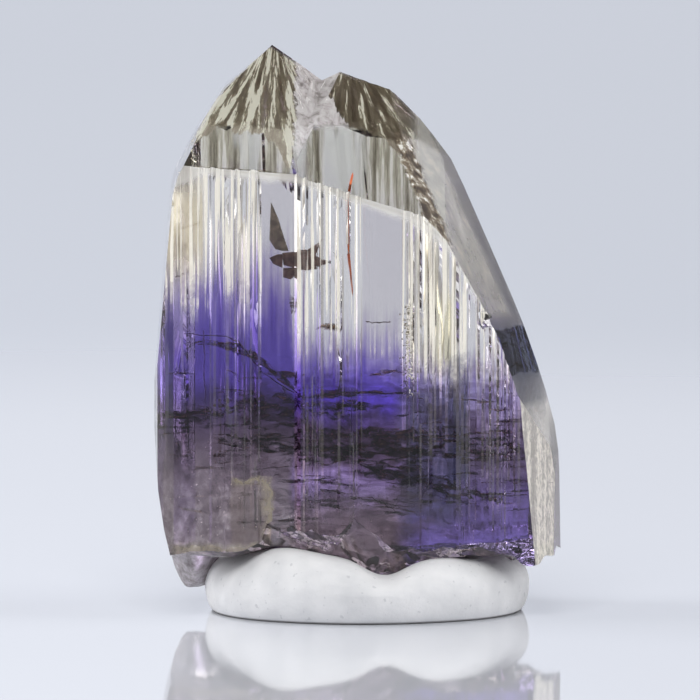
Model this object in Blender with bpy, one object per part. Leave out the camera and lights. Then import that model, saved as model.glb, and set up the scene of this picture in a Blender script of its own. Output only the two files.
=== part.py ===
"""A tanzanite crystal standing on a pad of white mineral putty.

The frame: X runs to the right of the crystal's broad front face, Y runs back, Z runs up, and the origin is
the middle of the pad's underside. All shapes are given in millimetres and turned into metres at the end.

The stone is two individuals grown together. Each is a prism with vertical growth steps on its faces, cut
at the top by flat termination faces. The two are joined, and the lower end is a break made of shallow
shell-shaped scars.
"""

import math
import random

import bmesh
import bpy
import numpy as np
from mathutils import Vector

MM = 0.001

# Heights between which the prisms are made before their ends are cut.
PRISM_FOOT = 0.4
PRISM_TOP = 30.0

# Corners of each individual's cross-section, in order round it seen from above. Each corner also gives the
# face that runs on from it: the width and the depth of its growth steps. A face with no depth is smooth.
FRONT_Y = -5.40
BACK_Y = 5.75
LEFT_BACK_Y = 3.40
LEFT_SECTION = (
    (-9.95, FRONT_Y + 0.40, 0.0, 0.0),
    (-9.15, FRONT_Y, 0.0, 0.0),
    (-7.65, FRONT_Y - 0.04, 0.40, 0.12),
    (-4.80, FRONT_Y, 0.0, 0.0),
    (-3.15, FRONT_Y + 0.03, 0.0, 0.0),
    (-2.85, -4.90, 0.0, 0.0),
    (-0.80, 0.00, 0.0, 0.0),
    (-1.80, 2.90, 0.0, 0.0),
    (-2.40, LEFT_BACK_Y + 0.04, 0.0, 0.0),
    (-4.75, LEFT_BACK_Y, 0.50, 0.14),
    (-8.10, LEFT_BACK_Y - 0.06, 0.9, 0.10),
    (-10.20, 0.90, 0.8, 0.10),
    (-10.05, -2.60, 0.0, 0.0),
)
RIGHT_SECTION = (
    (-2.85, FRONT_Y + 0.07, 0.35, 0.12),
    (0.20, FRONT_Y + 0.05, 0.0, 0.0),
    (2.20, FRONT_Y + 0.09, 0.40, 0.12),
    (5.00, FRONT_Y + 0.04, 0.40, 0.10),
    (8.85, FRONT_Y + 0.10, 0.25, 0.06),
    (9.72, -4.15, 0.0, 0.0),
    (10.20, 0.00, 0.0, 0.0),
    (9.60, 4.20, 0.0, 0.0),
    (8.60, 5.50, 0.8, 0.16),
    (-1.20, BACK_Y, 0.0, 0.0),
    (-3.30, BACK_Y - 0.07, 0.0, 0.0),
    (-3.36, 2.50, 0.0, 0.0),
    (-3.60, -4.60, 0.0, 0.0),
)
# The corners that are outside on both sections together.
LEFT_BACK_CORNER = 9
RIGHT_OUTER_CORNERS = slice(4, 11)

# Termination faces, each through three points.
LEFT_APEX = (-4.30, 0.40, 28.30)
RIGHT_PEAK = (-0.90, 0.30, 26.95)
RIDGE_END = (1.75, 0.30, 25.95)
NOTCH = (-1.75, 0.30, 26.55)
VALLEY_FOOT = (-3.25, FRONT_Y, 22.17)
LEFT_BACK_LEVEL = 21.70
LEFT_FACES = {
    "front": ((-7.65, FRONT_Y, 22.55), (-3.10, FRONT_Y, 22.15), LEFT_APEX),
    "towards the notch": (LEFT_APEX, NOTCH, VALLEY_FOOT),
    "back": (LEFT_APEX, (-8.00, LEFT_BACK_Y, LEFT_BACK_LEVEL), (-4.20, LEFT_BACK_Y, LEFT_BACK_LEVEL)),
    "back towards the notch": (LEFT_APEX, NOTCH, (-4.20, LEFT_BACK_Y, LEFT_BACK_LEVEL)),
}
RIGHT_FACES = {
    "front": ((-2.90, FRONT_Y, 21.95), (2.60, FRONT_Y, 20.20), RIGHT_PEAK),
    "front corner": ((3.20, FRONT_Y, 20.05), (4.60, FRONT_Y, 18.60), RIDGE_END),
    "towards the notch": (NOTCH, RIGHT_PEAK, VALLEY_FOOT),
    "back towards the notch": (NOTCH, RIGHT_PEAK, (-2.60, BACK_Y, 21.20)),
    "back": (RIGHT_PEAK, RIDGE_END, (1.00, BACK_Y, 20.35)),
}

# The worn face that cuts the right front edge, through three points.
SIDE_BAND = ((8.70, FRONT_Y, 3.00), (7.95, FRONT_Y, 10.50), (9.75, -4.10, 3.00))

# Outlines of the two flanks seen from the front, foot first. Each has the heights and y of the line in which
# it is widest, and the heights and leans between which its faces lean inwards per millimetre forwards or
# backwards.
LEFT_FLANK = (
    (-9.30, 2.60),
    (-9.75, 4.50),
    (-10.05, 6.50),
    (-10.20, 9.00),
    (-10.20, 11.40),
    (-9.98, 14.30),
    (-9.65, 18.00),
    (-9.35, 21.20),
    (-9.10, 22.10),
    (-8.00, 24.15),
    (-6.70, 26.20),
    (-4.30, 28.30),
)
LEFT_FLANK_LINE = ((6.0, 17.0), (0.9, 0.9))
LEFT_LEANS = ((6.0, 17.0), (0.02, 0.03))
RIGHT_FLANK = (
    (10.20, 5.00),
    (10.10, 7.40),
    (9.80, 9.50),
    (9.35, 11.20),
    (8.80, 12.90),
    (8.28, 14.40),
    (7.70, 15.80),
    (6.70, 18.10),
    (5.65, 20.50),
    (4.65, 22.60),
    (3.15, 24.60),
    (1.80, 25.95),
)
RIGHT_FLANK_LINE = ((15.0, 22.0), (-1.8, 0.2))
RIGHT_LEANS = ((6.0, 14.0), (0.10, 0.43))
RIGHT_BACK_LEANS = ((6.0, 17.0), (0.12, 0.28))

# Scars of the broken lower end: middle x and y, height of the hollow and its radius of curvature.
SCARS = (
    (-7.30, -4.60, 3.35, 15.0),
    (-3.70, -4.70, 3.40, 5.0),
    (0.50, 0.40, 2.70, 12.0),
    (7.20, -2.60, 3.70, 10.0),
    (-4.60, 2.80, 3.15, 9.0),
    (4.60, 3.60, 3.25, 8.0),
    (-9.30, 3.60, 3.60, 6.0),
    (9.40, 3.00, 3.80, 7.0),
)
# Points that hang below the scars: middle x and y, half-widths in x and y, drop.
HANGING_POINTS = (
    (-8.15, 0.50, 0.85, 1.80, 1.55),
    (7.45, -1.00, 0.38, 0.60, 1.50),
    (8.60, -5.20, 0.60, 0.50, 0.45),
)
# The steep break at the front: x and z of its upper edge, its first y, its depth in y, and the stretch of y
# over which it runs into the scars behind.
FRONT_BREAK_EDGE = (
    (-10.2, 3.2), (-6.0, 3.7), (-4.8, 4.3), (-4.3, 5.8), (-2.6, 5.2), (-0.7, 5.5), (0.3, 5.2), (2.6, 4.9),
    (3.4, 4.3), (4.9, 4.1), (6.1, 3.8), (7.7, 3.3), (8.6, 3.1), (10.2, 3.4),
)
FRONT_BREAK_START = -5.50
FRONT_BREAK_DEPTH = 1.00
FRONT_BREAK_BLEND = (-3.80, -2.80)
SEAT_DEPTH = 0.15
# Where the stone has pushed the putty up or down along its front: middle x, half-width and height.
SEAT_BELLS = ((-3.80, 1.90, 0.50), (1.35, 1.45, -0.95))
SEAT_BACK = (-4.50, -1.50)
RIPPLE_HEIGHT = 0.05
RIPPLE_LENGTH = 0.95
# The broken end is a grid of points. Its rows stand closer together along the front: evenly spaced rows
# are moved from the first list of shares of the half-width to the y of the second.
BREAK_HALF_WIDTH = 12.0
BREAK_CELLS = (60, 38)
ROW_SHARES = (-1.0, -0.85, -0.35, 1.0)
ROW_PLACES = (-8.0, -5.9, -4.2, 8.0)
BREAK_FLOOR = -3.0

# Chips on the edges: middle and radius of each.
CHIPS = (
    (6.25, -5.55, 15.00, 0.42),
    (-9.35, -5.55, 20.90, 0.35),
    (4.60, -5.65, 18.85, 0.40),
    (9.05, -5.60, 9.70, 0.38),
    (2.10, 0.25, 26.30, 0.42),
    (-6.90, -0.60, 26.80, 0.40),
)
CHIP_STRETCH = 1.7

# The pad: a pressed disc with a rounded rim, a flat underside and a slightly uneven outline.
PAD_CENTRE_X = 0.40
PAD_RADIUS = 8.05
PAD_HEIGHT = 3.20
PAD_FOOT_RADIUS = 7.55
PAD_WIDEST_HEIGHT = 1.41
PAD_SHOULDER = 1.90
PAD_DOME = 0.12
PAD_SEGMENTS = 60
FOOT_ROUND_STEPS = 5
SHOULDER_ROUND_STEPS = 7
TOP_RINGS = 4
# Waves of the pad's outline: how many round it, their share of the radius, and their turn.
PAD_WAVES = ((2, 0.010, 0.6), (3, 0.006, 2.0), (7, 0.004, 0.0))

# The crystal's imprint in the pad keeps this far from the stone.
GAP = 0.30
IMPRINT_TOP = 9.0
IMPRINT_FOOT = 0.6


def clear_scene():
    """Removes whatever the scene holds at the start."""
    for thing in list(bpy.data.objects):
        bpy.data.objects.remove(thing, do_unlink=True)


def plain_material(name, colour, roughness, metallic, transmission=0.0, ior=1.5):
    """A Principled material with one plain value on each socket."""
    material = bpy.data.materials.new(name)
    material.use_nodes = True
    shader = material.node_tree.nodes["Principled BSDF"]
    shader.inputs["Base Color"].default_value = (*colour, 1.0)
    shader.inputs["Roughness"].default_value = roughness
    shader.inputs["Metallic"].default_value = metallic
    shader.inputs["Transmission Weight"].default_value = transmission
    shader.inputs["IOR"].default_value = ior
    return material


def object_from(name, bm, material=None):
    """Turns a bmesh in millimetres into a named object in metres."""
    bmesh.ops.recalc_face_normals(bm, faces=bm.faces)
    bmesh.ops.scale(bm, vec=(MM, MM, MM), verts=bm.verts)
    mesh = bpy.data.meshes.new(name)
    bm.to_mesh(mesh)
    bm.free()
    thing = bpy.data.objects.new(name, mesh)
    if material:
        mesh.materials.append(material)
    bpy.context.scene.collection.objects.link(thing)
    return thing


def make_helper(thing):
    """Marks an object that only shapes another one."""
    thing.hide_render = True
    thing.display_type = "WIRE"
    return thing


def add_boolean(thing, other, operation):
    """Joins the other object to this one, or cuts it away."""
    modifier = thing.modifiers.new(operation.lower() + "_" + other.name, "BOOLEAN")
    modifier.operation = operation
    modifier.solver = "EXACT"
    modifier.object = other


def growth_steps(start, end, width, depth, rng):
    """Points from start up to, but not including, end: flats a little inside the face, joined by short
    slanting risers."""
    start = np.array(start)
    along = np.array(end) - start
    length = np.linalg.norm(along)
    along = along / length
    inwards = np.array((-along[1], along[0]))
    points = [start]
    if depth == 0.0:
        return points
    place = width * rng.uniform(0.3, 0.8)
    inset = 0.0
    while place < length - width:
        flat_end = inset + depth * rng.uniform(-0.12, 0.12)
        points.append(start + along * place + inwards * max(flat_end, 0.0))
        riser = depth * rng.uniform(0.4, 1.0)
        inset = depth * rng.uniform(0.0, 1.0)
        points.append(start + along * (place + riser) + inwards * inset)
        place += riser + width * rng.uniform(0.4, 1.5)
    return points


def section_outline(corners, rng):
    """The whole cross-section of one individual, with the growth steps of each face."""
    outline = []
    for i, (x, y, width, depth) in enumerate(corners):
        next_corner = corners[(i + 1) % len(corners)]
        outline += growth_steps((x, y), next_corner[:2], width, depth, rng)
    return outline


def prism(outline, foot, top):
    """A closed upright prism over an outline."""
    bm = bmesh.new()
    base = [bm.verts.new((x, y, foot)) for x, y in outline]
    face = bm.faces.new(base)
    raised = bmesh.ops.extrude_face_region(bm, geom=[face])
    lifted = [v for v in raised["geom"] if isinstance(v, bmesh.types.BMVert)]
    bmesh.ops.translate(bm, vec=(0.0, 0.0, top - foot), verts=lifted)
    bmesh.ops.recalc_face_normals(bm, faces=bm.faces)
    return bm


def cut_face(bm, point, outwards):
    """Cuts away what lies beyond a plane and closes the cut with one flat face."""
    everything = bm.verts[:] + bm.edges[:] + bm.faces[:]
    cut = bmesh.ops.bisect_plane(
        bm, geom=everything, dist=1e-5, plane_co=point, plane_no=outwards, clear_outer=True
    )
    edges = [e for e in cut["geom_cut"] if isinstance(e, bmesh.types.BMEdge) and e.is_boundary]
    if edges:
        bmesh.ops.edgeloop_fill(bm, edges=edges)


def plane_normal(points, axis=2):
    """The normal of the plane through three points that has a positive part along an axis."""
    first, second, third = (Vector(p) for p in points)
    normal = (second - first).cross(third - first).normalized()
    return normal if normal[axis] > 0.0 else -normal


def at_height(height, heights_and_values):
    """A value that runs evenly between two heights and stays the same beyond them."""
    (low, high), (first, second) = heights_and_values
    share = min(max((height - low) / (high - low), 0.0), 1.0)
    return first + (second - first) * share


def cut_flank(bm, flank, line, leans, side, way):
    """Cuts one long narrow face along each stretch of a flank's outline. side is -1 left and +1 right, and
    way is -1 for the faces in front of the outline and +1 for those behind it."""
    corners = [Vector((x, at_height(z, line), z)) for x, z in flank]
    for lower, upper in zip(corners, corners[1:]):
        lean = at_height((lower.z + upper.z) / 2.0, leans)
        normal = (upper - lower).cross(Vector((-side * lean, way, 0.0))).normalized()
        if normal.x * side < 0.0:
            normal = -normal
        cut_face(bm, lower, normal)


def individual(corners, faces, seed):
    """One of the two grown-together crystals, whole at its foot."""
    bm = prism(section_outline(corners, random.Random(seed)), PRISM_FOOT, PRISM_TOP)
    for points in faces.values():
        cut_face(bm, Vector(points[0]), plane_normal(points))
    cut_face(bm, Vector(SIDE_BAND[0]), plane_normal(SIDE_BAND, 0))
    cut_flank(bm, LEFT_FLANK, LEFT_FLANK_LINE, LEFT_LEANS, -1.0, -1.0)
    cut_flank(bm, RIGHT_FLANK, RIGHT_FLANK_LINE, RIGHT_LEANS, 1.0, -1.0)
    cut_flank(bm, RIGHT_FLANK, RIGHT_FLANK_LINE, RIGHT_BACK_LEANS, 1.0, 1.0)
    return bm


def seat_line(x):
    """Height of the putty along the front of the stone: the pad's height with a bell-shaped rise and dent."""
    bells = [height * np.exp(-(((x - middle) / width) ** 2)) for middle, width, height in SEAT_BELLS]
    return PAD_HEIGHT + sum(bells)


def break_height(x, y):
    """Height of the broken end over a point: the highest of the scars' domes, lowered under each hanging
    point by a bell, with low ripples. At the front it falls steeply from the front face's edge to the seat."""
    domes = [h - ((x - cx) ** 2 + (y - cy) ** 2) / (2.0 * r) for cx, cy, h, r in SCARS]
    scars = np.max(domes, axis=0)
    edge_x, edge_z = np.array(FRONT_BREAK_EDGE).T
    edge = np.interp(x, edge_x, edge_z)
    share = np.clip((y - FRONT_BREAK_START) / FRONT_BREAK_DEPTH, 0.0, 1.0)
    front = edge + (seat_line(x) - SEAT_DEPTH - edge) * share
    near, far = FRONT_BREAK_BLEND
    behind = np.clip((y - near) / (far - near), 0.0, 1.0)
    height = front + (scars - front) * behind
    for cx, cy, half_x, half_y, drop in HANGING_POINTS:
        away = ((x - cx) / half_x) ** 2 + ((y - cy) / half_y) ** 2
        height = height - drop * np.exp(-(away**2) / 2.0)
    turn = 2.0 * math.pi / RIPPLE_LENGTH
    ripple = np.sin(turn * (x + 0.4 * y)) * np.cos(turn * 0.7 * (y - 0.3 * x))
    return height + RIPPLE_HEIGHT * ripple


def break_block():
    """A closed block whose top is the broken end's surface."""
    columns, rows = BREAK_CELLS
    bm = bmesh.new()
    bmesh.ops.create_grid(bm, x_segments=columns, y_segments=rows, size=1.0)
    for vert in bm.verts:
        vert.co.x *= BREAK_HALF_WIDTH
        vert.co.y = np.interp(vert.co.y, ROW_SHARES, ROW_PLACES)
        vert.co.z = float(break_height(vert.co.x, vert.co.y))
    rim = [e for e in bm.edges if e.is_boundary]
    walls = bmesh.ops.extrude_edge_only(bm, edges=rim)["geom"]
    for part in walls:
        if isinstance(part, bmesh.types.BMVert):
            part.co.z = BREAK_FLOOR
    bmesh.ops.edgeloop_fill(bm, edges=[e for e in bm.edges if e.is_boundary])
    bmesh.ops.triangulate(bm, faces=bm.faces)
    return bm


def chip(middle, radius, seed):
    """A small faceted upright lump that takes a chip out of an edge."""
    rng = random.Random(seed)
    bm = bmesh.new()
    bmesh.ops.create_icosphere(bm, subdivisions=1, radius=radius)
    for vert in bm.verts:
        vert.co *= rng.uniform(0.8, 1.2)
        vert.co.z *= CHIP_STRETCH
    bmesh.ops.translate(bm, vec=middle, verts=bm.verts)
    return bm


def grown_outline(grow):
    """The outer corners of both cross-sections, in order round the middle, moved outwards."""
    outer = LEFT_SECTION[LEFT_BACK_CORNER:] + LEFT_SECTION[:2] + RIGHT_SECTION[RIGHT_OUTER_CORNERS]
    corners = sorted((Vector((x, y)) for x, y, _, _ in outer), key=lambda c: math.atan2(c.y, c.x))
    return [corner + corner.normalized() * grow for corner in corners]


def pad_profile():
    """Radius and height along the pad's profile, from the middle of its underside, round its foot and its
    shoulder by two quarter ellipses, to the middle of its slightly domed top."""
    profile = [(0.0, 0.0), (PAD_FOOT_RADIUS / 2.0, 0.0), (PAD_FOOT_RADIUS, 0.0)]
    for i in range(1, FOOT_ROUND_STEPS + 1):
        turn = math.pi / 2.0 * i / FOOT_ROUND_STEPS
        radius = PAD_FOOT_RADIUS + (PAD_RADIUS - PAD_FOOT_RADIUS) * math.sin(turn)
        profile.append((radius, PAD_WIDEST_HEIGHT * (1.0 - math.cos(turn))))
    rise = PAD_HEIGHT - PAD_DOME - PAD_WIDEST_HEIGHT
    for i in range(1, SHOULDER_ROUND_STEPS + 1):
        turn = math.pi / 2.0 * i / SHOULDER_ROUND_STEPS
        radius = PAD_RADIUS - PAD_SHOULDER * (1.0 - math.cos(turn))
        profile.append((radius, PAD_WIDEST_HEIGHT + rise * math.sin(turn)))
    for i in range(TOP_RINGS - 1, -1, -1):
        share = i / TOP_RINGS
        profile.append(((PAD_RADIUS - PAD_SHOULDER) * share, PAD_HEIGHT - PAD_DOME * share**2))
    return profile


def pushed_up(x, y, height):
    """How far the stone has pushed the putty up, or down, at a point of the pad."""
    near, far = SEAT_BACK
    forwards = min(max((far - y) / (far - near), 0.0), 1.0)
    raised = min(max((height - PAD_WIDEST_HEIGHT) / (PAD_HEIGHT - PAD_WIDEST_HEIGHT), 0.0), 1.0)
    return (seat_line(x) - PAD_HEIGHT) * forwards * raised


def pad_ring(bm, radius, height):
    """One ring of the pad's points, or its middle point where the radius is nothing."""
    if radius == 0.0:
        return [bm.verts.new((PAD_CENTRE_X, 0.0, height))] * PAD_SEGMENTS
    ring = []
    for i in range(PAD_SEGMENTS):
        turn = 2.0 * math.pi * i / PAD_SEGMENTS
        wave = sum(share * math.sin(count * turn + start) for count, share, start in PAD_WAVES)
        reach = radius * (1.0 + wave * radius / PAD_RADIUS)
        x = PAD_CENTRE_X + reach * math.cos(turn)
        y = reach * math.sin(turn)
        ring.append(bm.verts.new((x, y, height + pushed_up(x, y, height))))
    return ring


def pad_body():
    """The pressed disc, turned from its profile, with a slightly uneven outline."""
    bm = bmesh.new()
    rings = [pad_ring(bm, radius, height) for radius, height in pad_profile()]
    for lower, upper in zip(rings, rings[1:]):
        for i in range(PAD_SEGMENTS):
            j = (i + 1) % PAD_SEGMENTS
            corners = dict.fromkeys((lower[i], lower[j], upper[j], upper[i]))
            bm.faces.new(corners)
    return bm


def build():
    """Makes the crystal and its pad."""
    clear_scene()
    stone = plain_material("tanzanite", (0.42, 0.36, 0.68), 0.06, 0.0, transmission=1.0, ior=1.69)
    putty = plain_material("white_putty", (0.80, 0.80, 0.79), 0.75, 0.0)

    crystal = object_from("crystal", individual(LEFT_SECTION, LEFT_FACES, 11), stone)
    right_growth = make_helper(object_from("right_growth", individual(RIGHT_SECTION, RIGHT_FACES, 23)))
    add_boolean(crystal, right_growth, "UNION")
    broken_end = make_helper(object_from("broken_end", break_block()))
    add_boolean(crystal, broken_end, "DIFFERENCE")
    for i, (x, y, z, radius) in enumerate(CHIPS):
        lump = make_helper(object_from(f"edge_chip_{i + 1}", chip((x, y, z), radius, 40 + i)))
        add_boolean(crystal, lump, "DIFFERENCE")

    lowered_end = make_helper(object_from("lowered_end", break_block()))
    lowered_end.location.z = -GAP * MM
    imprint = make_helper(object_from("imprint", prism(grown_outline(GAP), IMPRINT_FOOT, IMPRINT_TOP)))
    add_boolean(imprint, lowered_end, "DIFFERENCE")
    pad = object_from("putty_pad", pad_body(), putty)
    add_boolean(pad, imprint, "DIFFERENCE")


build()
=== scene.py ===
"""The looks of a tanzanite crystal that stands on a pad of white putty.

Lengths are in millimetres in the frame of the solids: X to the right of the broad front face, Y back, Z up
from the middle of the pad's underside. They are turned into metres when a mesh is made.
"""

import math

import bmesh
import bpy
import numpy as np
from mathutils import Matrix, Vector


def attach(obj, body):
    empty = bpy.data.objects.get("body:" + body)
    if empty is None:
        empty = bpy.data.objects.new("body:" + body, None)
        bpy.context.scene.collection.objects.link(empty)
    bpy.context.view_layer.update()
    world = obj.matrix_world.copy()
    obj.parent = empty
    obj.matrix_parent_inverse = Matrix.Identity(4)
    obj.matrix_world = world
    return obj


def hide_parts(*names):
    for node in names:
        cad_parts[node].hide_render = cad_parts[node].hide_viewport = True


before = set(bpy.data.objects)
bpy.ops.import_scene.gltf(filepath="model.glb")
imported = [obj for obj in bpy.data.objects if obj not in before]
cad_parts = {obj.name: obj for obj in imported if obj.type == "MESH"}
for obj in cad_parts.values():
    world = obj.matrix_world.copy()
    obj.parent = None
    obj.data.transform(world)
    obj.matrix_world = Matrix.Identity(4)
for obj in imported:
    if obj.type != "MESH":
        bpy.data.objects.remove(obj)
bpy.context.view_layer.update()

MM = 0.001

# The crystal's shape, with the same corners, faces and flanks as its solid.
PRISM_FOOT = 0.4
PRISM_TOP = 30.0
FRONT_Y = -5.40
BACK_Y = 5.75
LEFT_BACK_Y = 3.40

# Corners of each individual's cross-section, in order round it seen from above. Each corner also gives the
# face that runs on from it: the width and the depth of its growth steps. A face with no depth is smooth.
LEFT_SECTION = (
    (-9.95, FRONT_Y + 0.40, 0.22, 0.05),
    (-9.15, FRONT_Y, 0.0, 0.0),
    (-7.65, FRONT_Y - 0.04, 0.17, 0.085),
    (-4.80, FRONT_Y, 0.0, 0.0),
    (-3.15, FRONT_Y + 0.03, 0.0, 0.0),
    (-2.85, -4.90, 0.0, 0.0),
    (-0.80, 0.00, 0.0, 0.0),
    (-1.80, 2.90, 0.0, 0.0),
    (-2.40, LEFT_BACK_Y + 0.04, 0.0, 0.0),
    (-4.75, LEFT_BACK_Y, 0.26, 0.11),
    (-8.10, LEFT_BACK_Y - 0.06, 0.60, 0.04),
    (-10.20, 0.90, 0.30, 0.05),
    (-10.05, -2.60, 0.30, 0.04),
)
RIGHT_SECTION = (
    (-2.85, FRONT_Y + 0.07, 0.15, 0.080),
    (0.20, FRONT_Y + 0.05, 0.0, 0.0),
    (2.20, FRONT_Y + 0.09, 0.20, 0.095),
    (5.00, FRONT_Y + 0.04, 0.15, 0.075),
    (8.85, FRONT_Y + 0.10, 0.10, 0.040),
    (9.72, -4.15, 0.0, 0.0),
    (10.20, 0.00, 0.0, 0.0),
    (9.60, 4.20, 0.0, 0.0),
    (8.60, 5.50, 0.0, 0.0),
    (5.60, 5.58, 0.24, 0.12),
    (2.20, 5.65, 0.0, 0.0),
    (0.10, 5.70, 0.22, 0.10),
    (-1.20, BACK_Y, 0.0, 0.0),
    (-3.30, BACK_Y - 0.07, 0.0, 0.0),
    (-3.36, 2.50, 0.0, 0.0),
    (-3.60, -4.60, 0.0, 0.0),
)

# Termination faces, each through three points.
LEFT_APEX = (-4.30, 0.40, 28.30)
RIGHT_PEAK = (-0.90, 0.30, 26.95)
RIDGE_END = (1.75, 0.30, 25.95)
NOTCH = (-1.75, 0.30, 26.55)
VALLEY_FOOT = (-3.25, FRONT_Y, 22.17)
LEFT_BACK_LEVEL = 21.70
LEFT_BACK_FACE = (LEFT_APEX, (-8.00, LEFT_BACK_Y, LEFT_BACK_LEVEL), (-4.20, LEFT_BACK_Y, LEFT_BACK_LEVEL))
LEFT_BACK_NOTCH_FACE = (LEFT_APEX, NOTCH, (-4.20, LEFT_BACK_Y, LEFT_BACK_LEVEL))
RIGHT_BACK_FACE = (RIGHT_PEAK, RIDGE_END, (1.00, BACK_Y, 20.35))
LEFT_FACES = (
    ((-7.65, FRONT_Y, 22.55), (-3.10, FRONT_Y, 22.15), LEFT_APEX),
    (LEFT_APEX, NOTCH, VALLEY_FOOT),
    LEFT_BACK_FACE,
    LEFT_BACK_NOTCH_FACE,
)
RIGHT_FACES = (
    ((-2.90, FRONT_Y, 21.95), (2.60, FRONT_Y, 20.20), RIGHT_PEAK),
    ((3.20, FRONT_Y, 20.05), (4.60, FRONT_Y, 18.60), RIDGE_END),
    (NOTCH, RIGHT_PEAK, VALLEY_FOOT),
    (NOTCH, RIGHT_PEAK, (-2.60, BACK_Y, 21.20)),
    RIGHT_BACK_FACE,
)

# The ragged line on the slanting ends above which the painted reflection of dark spikes shows.
CAP_CONTOUR = (
    (-9.60, 22.20), (-7.45, 24.20), (-6.80, 24.60), (-6.10, 24.15), (-4.90, 24.15), (-4.10, 23.60),
    (-3.35, 22.30), (-3.00, 24.90), (-1.60, 26.20), (-0.95, 25.10), (-0.60, 24.50), (0.35, 24.10),
    (1.65, 23.50), (2.50, 22.90), (4.10, 19.50), (9.00, 18.00),
)

# The upper edge of the front face.
FRONT_TOP = ((-9.60, 21.60), (-7.65, 22.50), (-3.10, 22.10), (2.60, 20.15), (4.60, 18.60), (9.00, 10.80))

# The worn face that cuts the right front edge, through three points.
SIDE_BAND = ((8.70, FRONT_Y, 3.00), (7.95, FRONT_Y, 10.50), (9.75, -4.10, 3.00))

# Outlines of the two flanks seen from the front, foot first. Each has the heights and y of the line in which
# it is widest, and the heights and leans between which its faces lean inwards per millimetre forwards or
# backwards.
LEFT_FLANK = (
    (-9.30, 2.60),
    (-9.75, 4.50),
    (-10.05, 6.50),
    (-10.20, 9.00),
    (-10.20, 11.40),
    (-9.98, 14.30),
    (-9.65, 18.00),
    (-9.35, 21.20),
    (-9.10, 22.10),
    (-8.00, 24.15),
    (-6.70, 26.20),
    (-4.30, 28.30),
)
LEFT_FLANK_LINE = ((6.0, 17.0), (0.9, 0.9))
LEFT_LEANS = ((6.0, 17.0), (0.02, 0.03))
RIGHT_FLANK = (
    (10.20, 5.00),
    (10.10, 7.40),
    (9.80, 9.50),
    (9.35, 11.20),
    (8.80, 12.90),
    (8.28, 14.40),
    (7.70, 15.80),
    (6.70, 18.10),
    (5.65, 20.50),
    (4.65, 22.60),
    (3.15, 24.60),
    (1.80, 25.95),
)
RIGHT_FLANK_LINE = ((15.0, 22.0), (-1.8, 0.2))
RIGHT_LEANS = ((6.0, 14.0), (0.10, 0.43))
RIGHT_BACK_LEANS = ((6.0, 17.0), (0.12, 0.28))

# Scars of the broken lower end: middle x and y, height of the hollow and its radius of curvature.
SCARS = (
    (-7.30, -4.60, 3.35, 15.0),
    (-3.70, -4.70, 3.40, 5.0),
    (0.50, 0.40, 2.70, 12.0),
    (7.20, -2.60, 3.70, 10.0),
    (-4.60, 2.80, 3.15, 9.0),
    (4.60, 3.60, 3.25, 8.0),
    (-9.30, 3.60, 3.60, 6.0),
    (9.40, 3.00, 3.80, 7.0),
)
# Points that hang below the scars: middle x and y, half-widths in x and y, drop.
HANGING_POINTS = (
    (-8.15, 0.50, 0.85, 1.80, 1.55),
    (7.45, -1.00, 0.38, 0.60, 1.50),
    (8.60, -5.20, 0.60, 0.50, 0.45),
)
# The steep break at the front: x and z of its upper edge, its first y, its depth in y, and the stretch of y
# over which it runs into the scars behind.
FRONT_BREAK_EDGE = (
    (-10.2, 3.2), (-6.0, 3.7), (-4.8, 4.3), (-4.3, 5.8), (-2.6, 5.2), (-0.7, 5.5), (0.3, 5.2), (2.6, 4.9),
    (3.4, 4.3), (4.9, 4.1), (6.1, 3.8), (7.7, 3.3), (8.6, 3.1), (10.2, 3.4),
)
FRONT_BREAK_START = -5.50
FRONT_BREAK_DEPTH = 1.00
FRONT_BREAK_BLEND = (-3.80, -2.80)
SEAT_DEPTH = 0.15
# Where the stone has pushed the putty up or down along its front: middle x, half-width and height.
SEAT_BELLS = ((-3.80, 1.90, 0.50), (1.35, 1.45, -0.95))
SEAT_BACK = (-4.50, -1.50)
BREAK_HALF_SIZE = (12.0, 8.0)
BREAK_FLOOR = -3.0

# Chips on the edges: middle and radius of each.
CHIPS = (
    (6.25, -5.55, 15.00, 0.42),
    (-9.35, -5.55, 20.90, 0.35),
    (4.60, -5.65, 18.85, 0.40),
    (9.05, -5.60, 9.70, 0.38),
    (2.10, 0.25, 26.30, 0.42),
    (-6.90, -0.60, 26.80, 0.40),
)
CHIP_STRETCH = 1.7

# The growth steps of the prisms: how many rings of points carry them up, the length over which a step ends,
# and the heights between which they grow from a share of their depth to the whole.
PRISM_LEVELS = 64
STEP_END_LENGTH = 0.12
CALM_HEIGHTS = (4.0, 11.0)
CALM_SHARE = 0.35

# The block that the faces of an ending are cut from.
BLOCK_SIZE = (26.0, 20.0, 29.0)
BLOCK_MIDDLE = (0.0, 0.0, 15.2)

# The fans of grooves on the back ends: how many grooves, and for each of two layers the mean width and the
# greatest slope.
FAN_GROOVES = 90
FAN_LAYERS = ((0.085, 0.42), (0.19, 0.22))

# Minerals grown into the stone just behind its front face, as outlines of X and Z.
WEDGE = (
    (-4.32, 20.79), (-4.36, 19.90), (-4.40, 18.90), (-4.10, 18.45), (-3.74, 18.36), (-3.44, 18.36),
    (-3.68, 19.07), (-3.96, 19.98), (-4.20, 20.54),
)
CLUSTER = (
    ((-4.40, 18.02), (-4.00, 18.20), (-3.72, 18.20), (-3.76, 17.52), (-4.22, 17.72)),
    ((-3.76, 18.26), (-3.06, 18.33), (-2.70, 18.44), (-2.28, 18.36), (-2.08, 18.15), (-2.06, 17.45),
     (-2.62, 17.38), (-2.98, 17.45), (-3.70, 17.66)),
    ((-2.52, 18.40), (-1.66, 18.96), (-1.92, 18.58), (-2.10, 18.16)),
    ((-2.10, 18.10), (-1.38, 17.80), (-1.86, 17.55), (-2.12, 17.60)),
    ((-3.72, 17.50), (-3.10, 17.54), (-3.06, 17.18), (-3.34, 16.93), (-3.72, 17.04)),
)
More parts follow.
